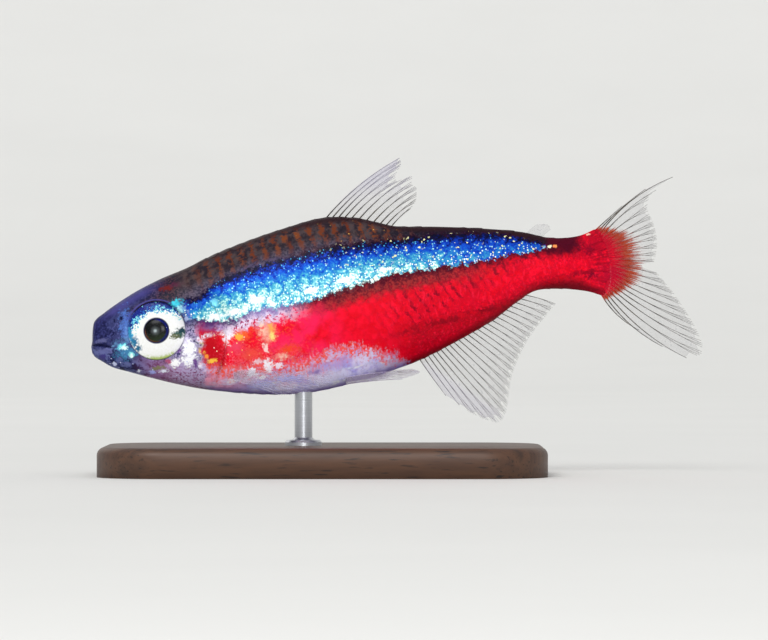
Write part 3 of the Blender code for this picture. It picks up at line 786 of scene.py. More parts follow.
def adipose_rays():
    """The guides of the small fleshy fin, which has no rays of its own."""
    roots = [
        (f, s, curve_at(BODY_PROFILE, s, 1) - ROOT_SUNK / 2)
        for f, s in ((0, 0.853), (0.5, 0.868), (1, 0.884))
    ]
    tips = ((0, 0.880, 0.0930), (0.5, 0.902, 0.0900), (1, 0.906, 0.0790))
    return fan(7, flat(roots), flat(tips), ((0, 0.06), (1, 0.06)))


def pectoral_rays(side):
    """The fin behind the gill cover, folded back low on the flank."""
    root_across = Station(0.262).flank(-0.101) + 0.00012
    tip_across = Station(0.36).flank(-0.110) + 0.00120
    roots = [
        (f, 0.262 - 0.004 * f, h, side * root_across / SL)
        for f, h in ((0, -0.092), (0.5, -0.101), (1, -0.110))
    ]
    tips = [
        (0, 0.446, -0.133, side * tip_across / SL),
        (0.35, 0.434, -0.147, side * (tip_across + 0.0001) / SL),
        (0.7, 0.392, -0.156, side * tip_across / SL),
        (1, 0.340, -0.152, side * (tip_across - 0.0003) / SL),
    ]
    return fan(12, roots, tips, ((0, 0.04), (1, 0.04)), side_bow=0.03 * side)


PELVIC_SLOPE = math.radians(45)


def pelvic_rays(side):
    """The belly fin, folded back."""
    roots = [(f, 0.469, h, side * y) for f, h, y in ((0, -0.139, 0.042), (1, -0.152, 0.028))]
    tips = [
        (0, 0.600, -0.144, side * 0.056),
        (0.5, 0.612, -0.153, side * 0.050),
        (1, 0.576, -0.160, side * 0.041),
    ]
    return fan(8, roots, tips, ((0, 0.03), (1, 0.03)))


def make_fins(web_skin, ray_bone, pectoral_skin, pelvic_skin, pale_bone):
    """Each fin's web and rays: name, rays, reach of each web, ray radius, first branched ray, across."""
    upper, lower = caudal_rays()
    vanes = [
        ("dorsal_fin", dorsal_rays(), DORSAL_WEBS, 0.000056, 1, ACROSS),
        ("anal_fin", anal_rays(), [0.94] * 23, 0.000040, 2, ACROSS),
        ("caudal_fin_upper", upper, UPPER_WEBS, 0.000046, 3, ACROSS),
        ("caudal_fin_lower", lower, LOWER_WEBS, 0.000046, 3, ACROSS),
    ]
    for side, label in ((-1, "left"), (1, "right")):
        vanes.append(("pectoral_fin_" + label, pectoral_rays(side), [0.94] * 11, 0.000030, 1, ACROSS))
        tilt = Vector((0, -side * math.sin(PELVIC_SLOPE), math.cos(PELVIC_SLOPE)))
        vanes.append(("pelvic_fin_" + label, pelvic_rays(side), [0.94] * 7, 0.000034, 1, tilt))
    for seed, (name, rays, webs, radius, forked_from, across) in enumerate(vanes):
        pale = name.startswith("p")
        skin = web_skin
        if pale:
            skin = pectoral_skin if name.startswith("pec") else pelvic_skin
        make_web(name + "_web", rays, webs, skin, (name,), seed, across=across)
        paths = ray_splines(rays, seed + 40, forked_from)
        make_rays(name + "_rays", paths, radius, pale_bone if pale else ray_bone, (name,))
    make_web("caudal_middle_web", [upper[-1], lower[-1]], [0.72], web_skin, (), 12)
    make_web("adipose_fin_web", adipose_rays(), [0.99] * 6, web_skin, ("adipose_fin",), 9, rows=8)


# Eyes

def turned(profile, steps=96):
    """A bmesh turned from (radius, out) points round the Z axis, closed on the axis."""
    bm = bmesh.new()
    verts = [bm.verts.new((radius, 0, out)) for radius, out in profile]
    edges = [bm.edges.new(pair) for pair in zip(verts, verts[1:])]
    bmesh.ops.spin(
        bm, geom=edges, cent=(0, 0, 0), axis=(0, 0, 1), angle=2 * math.pi, steps=steps, use_merge=True
    )
    bmesh.ops.remove_doubles(bm, verts=bm.verts, dist=1e-8)
    return bm


def eye_frame(side):
    """The matrix from an eye's own axes (Z out, Y up) to the model's frame."""
    centre = posed(Vector((EYE_AT[0] * SL, side * EYE_LEVEL, EYE_AT[1] * SL)))
    out = Vector((EYE_LOOKS[0], side * EYE_LOOKS[1], EYE_LOOKS[2])).normalized()
    up = (UPRIGHT - out * UPRIGHT.dot(out)).normalized()
    right = up.cross(out)
    turn = Matrix((right, up, out)).transposed().to_4x4()
    return Matrix.Translation(centre) @ turn


def make_eye(side, iris, lens, cornea):
    """One eye: the silver ball with its pupil's hole, the lens in it, and the clear dome over both."""
    label = "left" if side < 0 else "right"
    where = eye_frame(side)
    iris_profile = [(0.0, -EYE_DEEP)]
    iris_profile += [
        (EYE_RADIUS * math.sin(a), -EYE_DEEP * math.cos(a))
        for a in quarter(BALL_RINGS)[1:]
    ]
    for k in range(1, IRIS_RINGS + 1):
        r = lerp(EYE_RADIUS, PUPIL_RADIUS, k / IRIS_RINGS)
        iris_profile.append((r, IRIS_RISE * math.sin(math.pi / 2 * k / IRIS_RINGS)))
    iris_profile.append((PUPIL_RADIUS * 0.98, IRIS_RISE - PUPIL_EDGE))
    iris_profile.append((0.0, IRIS_RISE - PUPIL_DEEP))
    ball = turned(iris_profile)
    lens_profile = [
        (LENS_RADIUS * math.sin(a), IRIS_RISE - LENS_SUNK + (LENS_RISE + LENS_SUNK) * math.cos(a))
        for a in quarter(LENS_RINGS)
    ]
    lens_profile.append((0.0, IRIS_RISE - PUPIL_DEEP))
    pupil = turned(lens_profile)
    clear_profile = [
        (CORNEA_RADIUS * math.sin(a), 0.01 * MM + CORNEA_RISE * math.cos(a))
        for a in quarter(CORNEA_RINGS)
    ]
    clear_profile.append((EYE_RADIUS * 0.98, -0.05 * MM))
    clear_profile.append((0.0, -0.06 * MM))
    dome = turned(clear_profile)
    node = "eye_" + label
    for name, bm, material in (("_iris", ball, iris), ("_pupil", pupil, lens), ("_cornea", dome, cornea)):
        bmesh.ops.transform(bm, matrix=where, verts=bm.verts)
        new_piece(node + name, bm, material, (node,))


# Floor, lights and camera

# The floor's width, front, back, height and the radius of its bend
FLOOR_BOX = (3.6, -3.0, 1.3, 1.6, 0.9)
FLOOR_RINGS = 14


def make_floor(material):
    """A pale floor that sweeps up behind."""
    bm = bmesh.new()
    width, front, back_at, high, bend = FLOOR_BOX
    line = [(front, 0.0), (back_at - bend, 0.0)]
    line += [
        (back_at - bend + bend * math.sin(a), bend - bend * math.cos(a))
        for a in quarter(FLOOR_RINGS)[1:]
    ]
    line.append((back_at, high))
    verts = [bm.verts.new((-width / 2, y, z)) for y, z in line]
    edges = [bm.edges.new(pair) for pair in zip(verts, verts[1:])]
    made = bmesh.ops.extrude_edge_only(bm, edges=edges)["geom"]
    bmesh.ops.translate(bm, verts=only_verts(made), vec=(width, 0, 0))
    for face in bm.faces:
        face.smooth = True
    mesh = bpy.data.meshes.new("floor")
    bm.to_mesh(mesh)
    bm.free()
    floor = bpy.data.objects.new("floor", mesh)
    bpy.context.scene.collection.objects.link(floor)
    mesh.materials.append(material)


def area_light(name, where, aim, size, power):
    data = bpy.data.lights.new(name, "AREA")
    data.shape = "RECTANGLE"
    data.size = size
    data.size_y = size
    data.energy = power
    light = bpy.data.objects.new(name, data)
    light.location = where
    light.rotation_euler = (Vector(aim) - Vector(where)).to_track_quat("-Z", "Y").to_euler()
    bpy.context.scene.collection.objects.link(light)


def make_lights():
    """A wide soft sun from the upper left, a frontal softbox for the glitter, and pale surroundings."""
    middle = (-0.002, 0.0, 0.012)
    data = bpy.data.lights.new("soft_sun", "SUN")
    data.energy = 1.30
    data.angle = math.radians(28)
    sun = bpy.data.objects.new("soft_sun", data)
    sun.rotation_euler = Vector((0.26, 0.80, -0.62)).to_track_quat("-Z", "Y").to_euler()
    bpy.context.scene.collection.objects.link(sun)
    area_light("front_softbox", (0.02, -0.37, 0.075), middle, 0.07, 0.26)
    area_light("rear_rim", (-0.20, 0.30, 0.22), middle, 0.16, 0.06)
    world = bpy.data.worlds.new("studio")
    world.use_nodes = True
    sky = world.node_tree.nodes["Background"]
    sky.inputs["Color"].default_value = (0.95, 0.97, 1.0, 1.0)
    sky.inputs["Strength"].default_value = 0.66
    bpy.context.scene.world = world
    bpy.context.scene.view_settings.view_transform = "Standard"


def make_camera():
    """Level with the fish, square to its left side, framed as in the photograph."""
    data = bpy.data.cameras.new("camera")
    data.lens_unit = "MILLIMETERS"
    data.sensor_width = 36.0
    data.lens = data.sensor_width * CAMERA_DISTANCE / (PHOTO_WIDE * METRES_A_PIXEL)
    data.clip_start = 0.01
    camera = bpy.data.objects.new("camera", data)
    x = SNOUT_AT.x + (PHOTO_WIDE / 2 - SNOUT_PIXEL[0]) * METRES_A_PIXEL
    z = SNOUT_AT.z + (SNOUT_PIXEL[1] - PHOTO_HIGH / 2) * METRES_A_PIXEL
    camera.location = (x, -CAMERA_DISTANCE, z)
    camera.rotation_euler = (math.pi / 2, 0, 0)
    bpy.context.scene.collection.objects.link(camera)
    bpy.context.scene.camera = camera


# Materials

def paint(red, green, blue):
    """A colour given as eye values from 0 to 255, in the renderer's linear values."""

    def linear(value):
        share = value / 255
        return share / 12.92 if share <= 0.04045 else ((share + 0.055) / 1.055) ** 2.4

    return (linear(red), linear(green), linear(blue), 1.0)


class Finish:
    """One material's node tree, written as small sums of fields and colours."""

    def __init__(self, name, tree=None):
        if tree is None:
            self.material = bpy.data.materials.new(name)
            self.material.use_nodes = True
            tree = self.material.node_tree
            self.shader = tree.nodes["Principled BSDF"]
        self.tree = tree

    def add(self, kind, **settings):
        node = self.tree.nodes.new(kind)
        for key, value in settings.items():
            setattr(node, key, value)
        return node

    def feed(self, socket, value):
        if isinstance(value, bpy.types.NodeSocket):
            self.tree.links.new(value, socket)
        else:
            socket.default_value = value

    def sum(self, operation, *values):
        node = self.add("ShaderNodeMath", operation=operation)
        for socket, value in zip(node.inputs, values):
            self.feed(socket, value)
        return node.outputs[0]

    def mix(self, share, low, high):
        """low at share 0 and high at share 1, for colours."""
        node = self.add("ShaderNodeMix", data_type="RGBA", clamp_factor=True)
        self.feed(node.inputs[0], share)
        self.feed(node.inputs[6], low)
        self.feed(node.inputs[7], high)
        return node.outputs[2]

    def rise(self, value, low, high):
        """0 below low, 1 above high, smooth between."""
        node = self.add("ShaderNodeMapRange", interpolation_type="SMOOTHSTEP")
        self.feed(node.inputs[0], value)
        self.feed(node.inputs[1], low)
        self.feed(node.inputs[2], high)
        return node.outputs[0]

    def ramp(self, value, stops):
        node = self.add("ShaderNodeValToRGB")
        elements = node.color_ramp.elements
        while len(elements) < len(stops):
            elements.new(0.5)
        for element, (where, colour) in zip(elements, stops):
            element.position = where
            element.color = paint(*colour)
        self.feed(node.inputs[0], value)
        return node.outputs[0]

    def line(self, value, points):
        """A height line over stations: points of (station, height)."""
        node = self.add("ShaderNodeFloatCurve")
        curve = node.mapping.curves[0]
        node.mapping.use_clip = False
        while len(curve.points) < len(points):
            curve.points.new(0.5, 0.5)
        for spot, (station, height) in zip(curve.points, points):
            spot.location = (station, height + 0.5)
        node.mapping.update()
        self.feed(node.inputs[1], value)
        return self.minus(node.outputs[0], 0.5)

    def object_place(self):
        return self.add("ShaderNodeTexCoord").outputs["Object"]

    def fish_place(self):
        """(place, station, height): the fish's own axes, in shares of its length."""
        node = self.add("ShaderNodeMapping", vector_type="TEXTURE")
        self.feed(node.inputs["Vector"], self.object_place())
        node.inputs["Location"].default_value = SNOUT_AT
        node.inputs["Rotation"].default_value = (0, -HEAD_DOWN, 0)
        node.inputs["Scale"].default_value = (SL, SL, SL)
        parts = self.add("ShaderNodeSeparateXYZ")
        self.feed(parts.inputs[0], node.outputs[0])
        return node.outputs[0], parts.outputs[0], parts.outputs[2]

    def stretched(self, place, scale, turn=(0, 0, 0)):
        node = self.add("ShaderNodeMapping")
        self.feed(node.inputs["Vector"], place)
        node.inputs["Scale"].default_value = scale
        node.inputs["Rotation"].default_value = turn
        return node.outputs[0]

    def noise(self, place, scale, detail=3.0, rough=0.55):
        node = self.add("ShaderNodeTexNoise")
        self.feed(node.inputs["Vector"], place)
        node.inputs["Scale"].default_value = scale
        node.inputs["Detail"].default_value = detail
        node.inputs["Roughness"].default_value = rough
        return node.outputs["Fac"]

    def cells(self, place, scale):
        """Voronoi cells: (random value, second random value, distance)."""
        node = self.add("ShaderNodeTexVoronoi")
        self.feed(node.inputs["Vector"], place)
        node.inputs["Scale"].default_value = scale
        parts = self.add("ShaderNodeSeparateColor")
        self.feed(parts.inputs[0], node.outputs["Color"])
        return parts.outputs[0], parts.outputs[1], node.outputs["Distance"]

    def own_place(self, name):
        """The two coordinates of a piece's own flat map."""
        parts = self.add("ShaderNodeSeparateXYZ")
        self.feed(parts.inputs[0], self.add("ShaderNodeUVMap", uv_map=name).outputs[0])
        return parts.outputs[0], parts.outputs[1]

    def mottled(self, field, low, high, one, other):
        """Between two plain colours as a field rises from low to high."""
        return self.mix(self.rise(field, low, high), paint(*one), paint(*other))

    def over(self, under, tint, *masks):
        """A plain colour laid over another, as far as all of its masks let it."""
        return self.mix(self.times(*masks), under, paint(*tint))

    def tools(self, names):
        """Several of these functions by name, for the sums of one material."""
        return [getattr(self, name) for name in names.split()]

    def minus(self, value, less):
        return self.sum("SUBTRACT", value, less)

    def times(self, *values):
        result = values[0]
        for value in values[1:]:
            result = self.sum("MULTIPLY", result, value)
        return result

    def plus(self, *values):
        result = values[0]
        for value in values[1:]:
            result = self.sum("ADD", result, value)
        return result

    def centred(self, value, amount):
        return self.sum("MULTIPLY", self.minus(value, 0.5), amount)

    def hump(self, value, middle, width):
        """1 at middle, falling to 0 at a width either side."""
        away = self.sum("ABSOLUTE", self.minus(value, middle))
        return self.rise(away, width, 0.0)

    def relief(self, height, strength, distance):
        node = self.add("ShaderNodeBump")
        node.inputs["Strength"].default_value = strength
        node.inputs["Distance"].default_value = distance
        self.feed(node.inputs["Height"], height)
        self.feed(self.shader.inputs["Normal"], node.outputs[0])

    def set(self, **values):
        for key, value in values.items():
            self.feed(self.shader.inputs[key.replace("_", " ")], value)


SOCKET_KINDS = {"colour": "NodeSocketColor", "place": "NodeSocketVector"}


def shared(inputs, outputs):
    """Makes a function of a finish and some fields into a node group, built once for all materials."""

    def wrap(build):
        @functools.lru_cache(maxsize=None)
        def tree():
            made = bpy.data.node_groups.new(build.__name__, "ShaderNodeTree")
            for labels, way in ((inputs, "INPUT"), (outputs, "OUTPUT")):
                for label in labels.split():
                    kind = SOCKET_KINDS.get(label, "NodeSocketFloat")
                    made.interface.new_socket(name=label, in_out=way, socket_type=kind)
            finish = Finish(build.__name__, made)
            entry = finish.add("NodeGroupInput")
            results = build(finish, *[entry.outputs[label] for label in inputs.split()])
            leave = finish.add("NodeGroupOutput")
            for label, result in zip(outputs.split(), results):
                finish.feed(leave.inputs[label], result)
            return made

        def use(finish, *values):
            node = finish.add("ShaderNodeGroup", node_tree=tree())
            for socket, value in zip(node.inputs, values):
                finish.feed(socket, value)
            return SimpleNamespace(**{label: node.outputs[label] for label in outputs.split()})

        return use

    return wrap


# The stripe's upper and lower edges and the red's lower edge, as (station, height)
STRIPE_TOP = (
    (0.150, 0.062),
    (0.185, 0.056),
    (0.217, 0.058),
    (0.250, 0.080),
    (0.301, 0.094),
    (0.420, 0.108),
    (0.500, 0.113),
    (0.615, 0.106),
    (0.704, 0.101),
    (0.769, 0.094),
    (0.835, 0.077),
    (0.897, 0.049),
    (0.930, 0.040),
)
STRIPE_BOTTOM = (
    (0.150, 0.048),
    (0.185, 0.028),
    (0.217, 0.013),
    (0.277, 0.004),
    (0.328, 0.013),
    (0.405, 0.014),
    (0.487, 0.027),
    (0.566, 0.037),
    (0.694, 0.041),
    (0.760, 0.039),
    (0.830, 0.043),
    (0.897, 0.043),
    (0.930, 0.042),
)
RED_BOTTOM = (
    (0.190, -0.066),
    (0.240, -0.080),
    (0.292, -0.086),
    (0.387, -0.098),
    (0.428, -0.088),
    (0.488, -0.082),
    (0.552, -0.105),
    (0.590, -0.126),
    (0.615, -0.160),
    (0.700, -0.200),
    (1.000, -0.200),
)
# The stripe from its pale lower edge up to its dark top
STRIPE_COLOURS = (
    (0.00, (232, 248, 244)),
    (0.09, (150, 214, 212)),
    (0.22, (66, 164, 192)),
    (0.38, (34, 114, 186)),
    (0.56, (14, 70, 188)),
    (0.72, (8, 46, 152)),
    (0.84, (8, 18, 84)),
    (1.00, (10, 8, 32)),
)
# Where along those colours the stripe's lower edge starts, by station
STRIPE_STARTS = (
    (0.150, 0.46),
    (0.195, 0.40),
    (0.225, 0.12),
    (0.250, 0.12),
    (0.300, 0.10),
    (0.360, 0.14),
    (0.420, 0.17),
    (0.470, 0.14),
    (0.560, 0.08),
    (0.640, 0.16),
    (0.730, 0.36),
    (0.820, 0.44),
    (0.920, 0.42),
)
# Patches where the skin shines or colour gathers: station, height, half length, half height, colour.
# On the head: the snout, lips, brow and nostrils, then the bright cheek round the eye
CHEEK_SPOTS = (
    (0.072, 0.028, 0.014, 0.030, (78, 112, 186)),
    (0.074, 0.004, 0.009, 0.018, (104, 142, 206)),
    (0.058, -0.010, 0.022, 0.012, (84, 122, 166)),
    (0.064, -0.024, 0.022, 0.013, (66, 128, 172)),
    (0.020, 0.005, 0.016, 0.0045, (84, 86, 130)),
    (0.020, -0.016, 0.018, 0.0075, (100, 104, 158)),
    (0.1926, 0.0215, 0.010, 0.0060, (150, 164, 204)),
    (0.090, 0.040, 0.020, 0.010, (66, 84, 160)),
    (0.160, 0.085, 0.014, 0.006, (104, 30, 30)),
    (0.186, 0.088, 0.020, 0.006, (84, 36, 60)),
    # The two dark patches over the nostrils are painted shade in their pits
    (0.050, 0.038, 0.0035, 0.0045, (20, 22, 62)),
    (0.064, 0.041, 0.0035, 0.0045, (20, 22, 62)),
    (0.0575, -0.0130, 0.011, 0.0060, (110, 226, 236)),
    (0.0600, -0.0150, 0.008, 0.0042, (232, 255, 252)),
    (0.071, -0.032, 0.006, 0.0060, (150, 236, 236)),
    (0.0715, -0.033, 0.0036, 0.0040, (236, 255, 252)),
    (0.036, -0.043, 0.004, 0.0035, (206, 214, 248)),
    (0.081, -0.064, 0.005, 0.0030, (226, 232, 252)),
    (0.106, -0.070, 0.007, 0.0045, (168, 174, 240)),
    (0.127, -0.071, 0.010, 0.0035, (232, 238, 252)),
    (0.174, 0.052, 0.013, 0.0100, (56, 200, 220)),
    (0.180, 0.040, 0.012, 0.0080, (170, 232, 236)),
    (0.201, 0.032, 0.009, 0.0080, (214, 206, 232)),
    (0.182, -0.022, 0.007, 0.0130, (222, 214, 242)),
    (0.208, -0.023, 0.009, 0.0045, (240, 238, 252)),
    (0.153, -0.059, 0.010, 0.0080, (255, 255, 255)),
    (0.178, -0.058, 0.013, 0.0120, (252, 252, 255)),
    (0.184, -0.040, 0.013, 0.0180, (250, 250, 255)),
    (0.200, -0.071, 0.005, 0.0070, (244, 240, 252)),
    (0.162, -0.037, 0.006, 0.0060, (112, 80, 146)),
    (0.191, -0.068, 0.004, 0.0090, (108, 70, 140)),
    (0.141, -0.054, 0.005, 0.0040, (176, 84, 120)),
    (0.120, -0.064, 0.014, 0.0040, (130, 124, 96)),
    (0.108, -0.078, 0.020, 0.0040, (150, 110, 160)),
    (0.018, -0.026, 0.010, 0.0060, (64, 58, 124)),
)
# Patches with soft edges on the gill cover, the red and the belly
SOFT_SPOTS = (
    (0.3360, -0.0290, 0.016, 0.018, (248, 176, 156)),
    (0.2300, -0.0020, 0.014, 0.0070, (130, 104, 150)),
    (0.2900, -0.0240, 0.015, 0.012, (248, 92, 48)),
    (0.3460, -0.0260, 0.007, 0.015, (248, 170, 84)),
    (0.3720, -0.0680, 0.022, 0.010, (246, 74, 38)),
    (0.3000, -0.0660, 0.026, 0.013, (246, 76, 66)),
    (0.2720, -0.0480, 0.016, 0.016, (238, 66, 96)),
    (0.3560, -0.0800, 0.012, 0.007, (250, 190, 170)),
    # The next two, pale blue low on the belly, are painted highlights
    (0.3087, -0.1270, 0.024, 0.007, (196, 196, 252)),
    (0.3640, -0.1233, 0.026, 0.007, (182, 180, 244)),
    (0.4150, -0.1200, 0.018, 0.005, (160, 136, 196)),
)
# Sharper patches of silver, gold and dark red on and behind the gill cover
FLANK_SPOTS = (
    (0.2070, -0.0290, 0.012, 0.0110, (236, 228, 244)),
    (0.2190, -0.0190, 0.008, 0.0045, (250, 244, 255)),
    (0.2020, -0.0730, 0.007, 0.0070, (236, 224, 246)),
    (0.2120, -0.0480, 0.004, 0.0040, (255, 196, 90)),
    (0.2150, -0.0590, 0.004, 0.0040, (255, 150, 60)),
    (0.2260, -0.0640, 0.007, 0.0030, (255, 190, 70)),
    (0.2220, 0.0190, 0.012, 0.006, (232, 248, 250)),
    (0.2230, -0.0180, 0.015, 0.005, (232, 230, 244)),
    (0.2620, -0.0180, 0.011, 0.020, (252, 244, 252)),
    (0.2500, -0.0060, 0.014, 0.006, (206, 176, 226)),
    (0.3280, -0.0080, 0.006, 0.018, (250, 206, 180)),
    (0.2250, -0.0420, 0.018, 0.028, (190, 8, 26)),
    (0.2030, -0.0460, 0.003, 0.016, (244, 196, 96)),
    (0.2080, -0.0320, 0.004, 0.005, (250, 214, 130)),
    (0.2246, -0.0670, 0.008, 0.004, (252, 196, 70)),
    (0.2150, -0.0560, 0.004, 0.004, (250, 150, 60)),
    (0.2817, -0.0300, 0.008, 0.006, (255, 176, 70)),
    (0.3440, -0.0380, 0.005, 0.008, (255, 226, 130)),
    (0.3280, -0.0600, 0.005, 0.010, (252, 214, 206)),
    (0.3080, -0.0830, 0.008, 0.006, (250, 206, 214)),
    (0.3480, -0.0960, 0.008, 0.007, (250, 232, 244)),
    (0.3120, -0.1130, 0.009, 0.004, (250, 246, 255)),
    (0.2040, -0.0780, 0.007, 0.009, (206, 190, 232)),
    (0.3290, -0.0940, 0.009, 0.014, (255, 248, 255)),
    (0.2950, -0.1020, 0.012, 0.010, (252, 246, 255)),
    (0.2760, -0.0960, 0.008, 0.006, (244, 170, 180)),
)
# Clusters of white crystals along the stripe, their glints painted in as colour
STRIPE_SPOTS = (
    (0.2460, 0.0150, 0.016, 0.007, (240, 252, 252)),
    (0.2800, 0.0190, 0.014, 0.007, (250, 255, 255)),
    (0.3270, 0.0340, 0.014, 0.007, (246, 250, 252)),
    (0.4306, 0.0370, 0.014, 0.005, (246, 254, 250)),
    (0.4990, 0.0450, 0.016, 0.005, (246, 254, 248)),
    (0.5750, 0.0530, 0.014, 0.004, (246, 254, 248)),
    (0.2440, 0.0430, 0.008, 0.007, (120, 206, 234)),
    (0.2140, 0.0440, 0.012, 0.005, (36, 100, 196)),
)
# Painted glints of single crystals behind the stripe's end and on the tail
END_GLINTS = (
    (0.8780, 0.0510, 0.0036, 0.0030, (200, 240, 232)),
    (0.8860, 0.0480, 0.0036, 0.0026, (190, 232, 226)),
    (0.8980, 0.0465, 0.0044, 0.0028, (250, 250, 210)),
    (0.9080, 0.0455, 0.0040, 0.0026, (255, 150, 84)),
    (0.9760, 0.0580, 0.0036, 0.0026, (250, 180, 160)),
)
# Dark patches over the tail's flesh and the roots of its fin
TAIL_SPOTS = (
    (0.9900, 0.0350, 0.034, 0.024, (176, 2, 34)),
    (0.9740, 0.0300, 0.010, 0.009, (130, 2, 34)),
    (1.0060, -0.0240, 0.034, 0.026, (176, 2, 40)),
    (0.9700, -0.0180, 0.011, 0.009, (112, 2, 34)),
    (0.9560, -0.0130, 0.030, 0.005, (150, 2, 30)),
)


def spots(finish, colour, station, height, ragged, places, softness=0.55):
    """Patches painted over a colour, their edges broken by the ragged field."""
    flat_place = finish.add("ShaderNodeCombineXYZ")
    finish.feed(flat_place.inputs[0], station)
    finish.feed(flat_place.inputs[1], height)
    # Multiplied by 0 below: each patch is worked out only once the colour under it is known
    finish.feed(flat_place.inputs[2], finish.plus(colour, ragged))
    for s, h, long, high, tint in places:
        offset = finish.add("ShaderNodeVectorMath", operation="MULTIPLY_ADD")
        finish.feed(offset.inputs[0], flat_place.outputs[0])
        offset.inputs[1].default_value = (1 / long, 1 / high, 0)
        offset.inputs[2].default_value = (-s / long, -h / high, 0)
        length = finish.add("ShaderNodeVectorMath", operation="LENGTH")
        finish.feed(length.inputs[0], offset.outputs[0])
        away = finish.plus(length.outputs["Value"], ragged)
        colour = finish.mix(finish.rise(away, 1.0 + softness / 2, 1.0 - softness), colour, paint(*tint))
    return colour


FIELDS = "place station height below_back above_belly edge broad middling fine grain sparkle speck ragged"


@shared("", FIELDS)
def fields(finish):
    """Where a point is on the fish, and the mottling that the markings share."""
    times, plus, centred = finish.times, finish.plus, finish.centred
    place, station, height = finish.fish_place()
    back_line = finish.line(station, [(row[0], row[1]) for row in BODY_PROFILE[1::2]])
    belly_line = finish.line(station, [(row[0], row[2]) for row in BODY_PROFILE[1::2]])
    broad = finish.noise(place, 26.0)
    middling = finish.noise(place, 70.0)
    fine = finish.noise(place, 230.0, 2.0)
    grain, sparkle, _ = finish.cells(place, 300.0)
    draw, _, away = finish.cells(place, 250.0)
    speck = times(draw, finish.rise(away, 0.52, 0.34))
    ragged = plus(centred(middling, 1.9), centred(fine, 1.6), centred(grain, 0.55))
    edge = plus(height, centred(middling, 0.026), centred(fine, 0.012), centred(grain, 0.006))
    below_back = finish.minus(back_line, height)
    above_belly = finish.minus(height, belly_line)
    where = (place, station, height, below_back, above_belly, edge)
    return where + (broad, middling, fine, grain, sparkle, speck, ragged)


@shared("", "colour")
def belly_colours(finish):
    """Pink over the gills, then silvery lilac with pale reflections."""
    mix, rise, mottled, over = finish.tools("mix rise mottled over")
    f = fields(finish)
    along = functools.partial(rise, f.station)
    flowing = finish.noise(
        finish.stretched(f.place, (14.0, 34.0, 60.0), (0, math.radians(8), 0)), 1.0, 2.0
    )
    belly = mottled(f.broad, 0.40, 0.60, (180, 172, 238), (226, 222, 255))
    pink = mottled(f.middling, 0.4, 0.6, (206, 124, 164), (244, 170, 204))
    belly = mix(along(0.31, 0.21), belly, pink)
    belly = over(belly, (214, 214, 250), rise(flowing, 0.50, 0.64), 0.7)
    belly = over(belly, (130, 108, 178), rise(f.fine, 0.56, 0.68), 0.30)
    belly = over(belly, (240, 244, 255), rise(flowing, 0.60, 0.68), rise(f.middling, 0.46, 0.56))
    belly = over(belly, (168, 132, 176), along(0.50, 0.60), 0.8)
    return (over(belly, (146, 132, 206), rise(f.above_belly, 0.012, 0.001)),)


@shared("", "colour")
def red_colours(finish):
    """Pink-red in front with orange patches, deep red behind, and dark along the tail's edges."""
    rise, times, plus, centred = finish.tools("rise times plus centred")
    minus, hump, mottled, over = finish.tools("minus hump mottled over")
    f = fields(finish)
    along = functools.partial(rise, f.station)
    # Each muscle fold under the rear flank leans back as it goes down; its dark red is partly its own
    # colour and partly painted shade in its crease
    phase = plus(
        times(f.station, 0.9), times(f.height, 0.45), centred(f.middling, 0.022), centred(f.broad, 0.014)
    )
    fold_lines_and_shade = finish.sum("SINE", times(phase, 2 * math.pi / 0.0170))
    hairs = finish.noise(
        finish.stretched(f.place, (200.0, 80.0, 60.0), (0, math.radians(20), 0)), 1.0, 2.0
    )
    red = mottled(f.middling, 0.35, 0.65, (226, 2, 28), (246, 10, 44))
    pink = times(along(0.30, 0.36), along(0.50, 0.42), rise(f.broad, 0.36, 0.58))
    red = over(red, (255, 34, 92), pink, 0.8)
    orange = times(along(0.46, 0.30), rise(f.fine, 0.50, 0.66), rise(f.broad, 0.62, 0.44))
    red = over(red, (255, 84, 44), orange, 0.8)
    rear = along(0.50, 0.64)
    red = over(red, (200, 2, 34), rear, rise(plus(f.fine, centred(f.broad, 0.8)), 0.64, 0.40), 0.7)
    upper_half = rise(plus(f.above_belly, centred(f.broad, 0.03)), 0.050, 0.085)
    fold_lines_and_shade = times(rise(plus(fold_lines_and_shade, centred(f.fine, 3.0)), 0.0, 1.0), rise(f.middling, 0.40, 0.58))
    # Dark red along each fold: partly its own colour, partly painted shade
    red = over(red, (136, 2, 28), rear, upper_half, fold_lines_and_shade, 0.95)
    red = over(red, (255, 34, 68), rear, rise(hairs, 0.54, 0.68), 0.4)
    rosy = times(along(0.44, 0.36), rise(f.fine, 0.44, 0.62), rise(f.above_belly, 0.115, 0.060))
    red = over(red, (255, 104, 128), rosy, 0.55)
    red = over(red, (190, 8, 28), along(0.262, 0.235), 0.75)
    red = over(red, (110, 2, 20), along(0.53, 0.60), rise(f.above_belly, 0.016, 0.001))
    streak = minus(f.edge, plus(times(f.station, 0.098), -0.127))
    streak = times(hump(streak, 0.0, 0.015), along(0.55, 0.61), along(0.86, 0.78))
    red = over(red, (126, 2, 20), streak, rise(f.middling, 0.36, 0.56), 0.85)
    below_streak = times(rise(f.edge, -0.045, -0.070), along(0.56, 0.62), rise(f.fine, 0.36, 0.56))
    red = over(red, (160, 4, 24), below_streak, 0.7)
    before_tail = rise(plus(f.station, centred(f.fine, 0.03)), 0.972, 0.945)
    end = times(rise(plus(f.station, centred(f.middling, 0.05)), 0.845, 0.905), before_tail)
    red = over(red, (96, 8, 26), end, rise(plus(f.below_back, centred(f.fine, 0.024)), 0.050, 0.020))
    red = over(red, (44, 8, 22), end, rise(f.below_back, 0.012, 0.002))
    low_end = times(along(0.70, 0.86), before_tail)
    low_end = times(low_end, rise(plus(f.above_belly, centred(f.fine, 0.016)), 0.034, 0.006))
    return (over(red, (112, 2, 20), low_end, 0.8),)


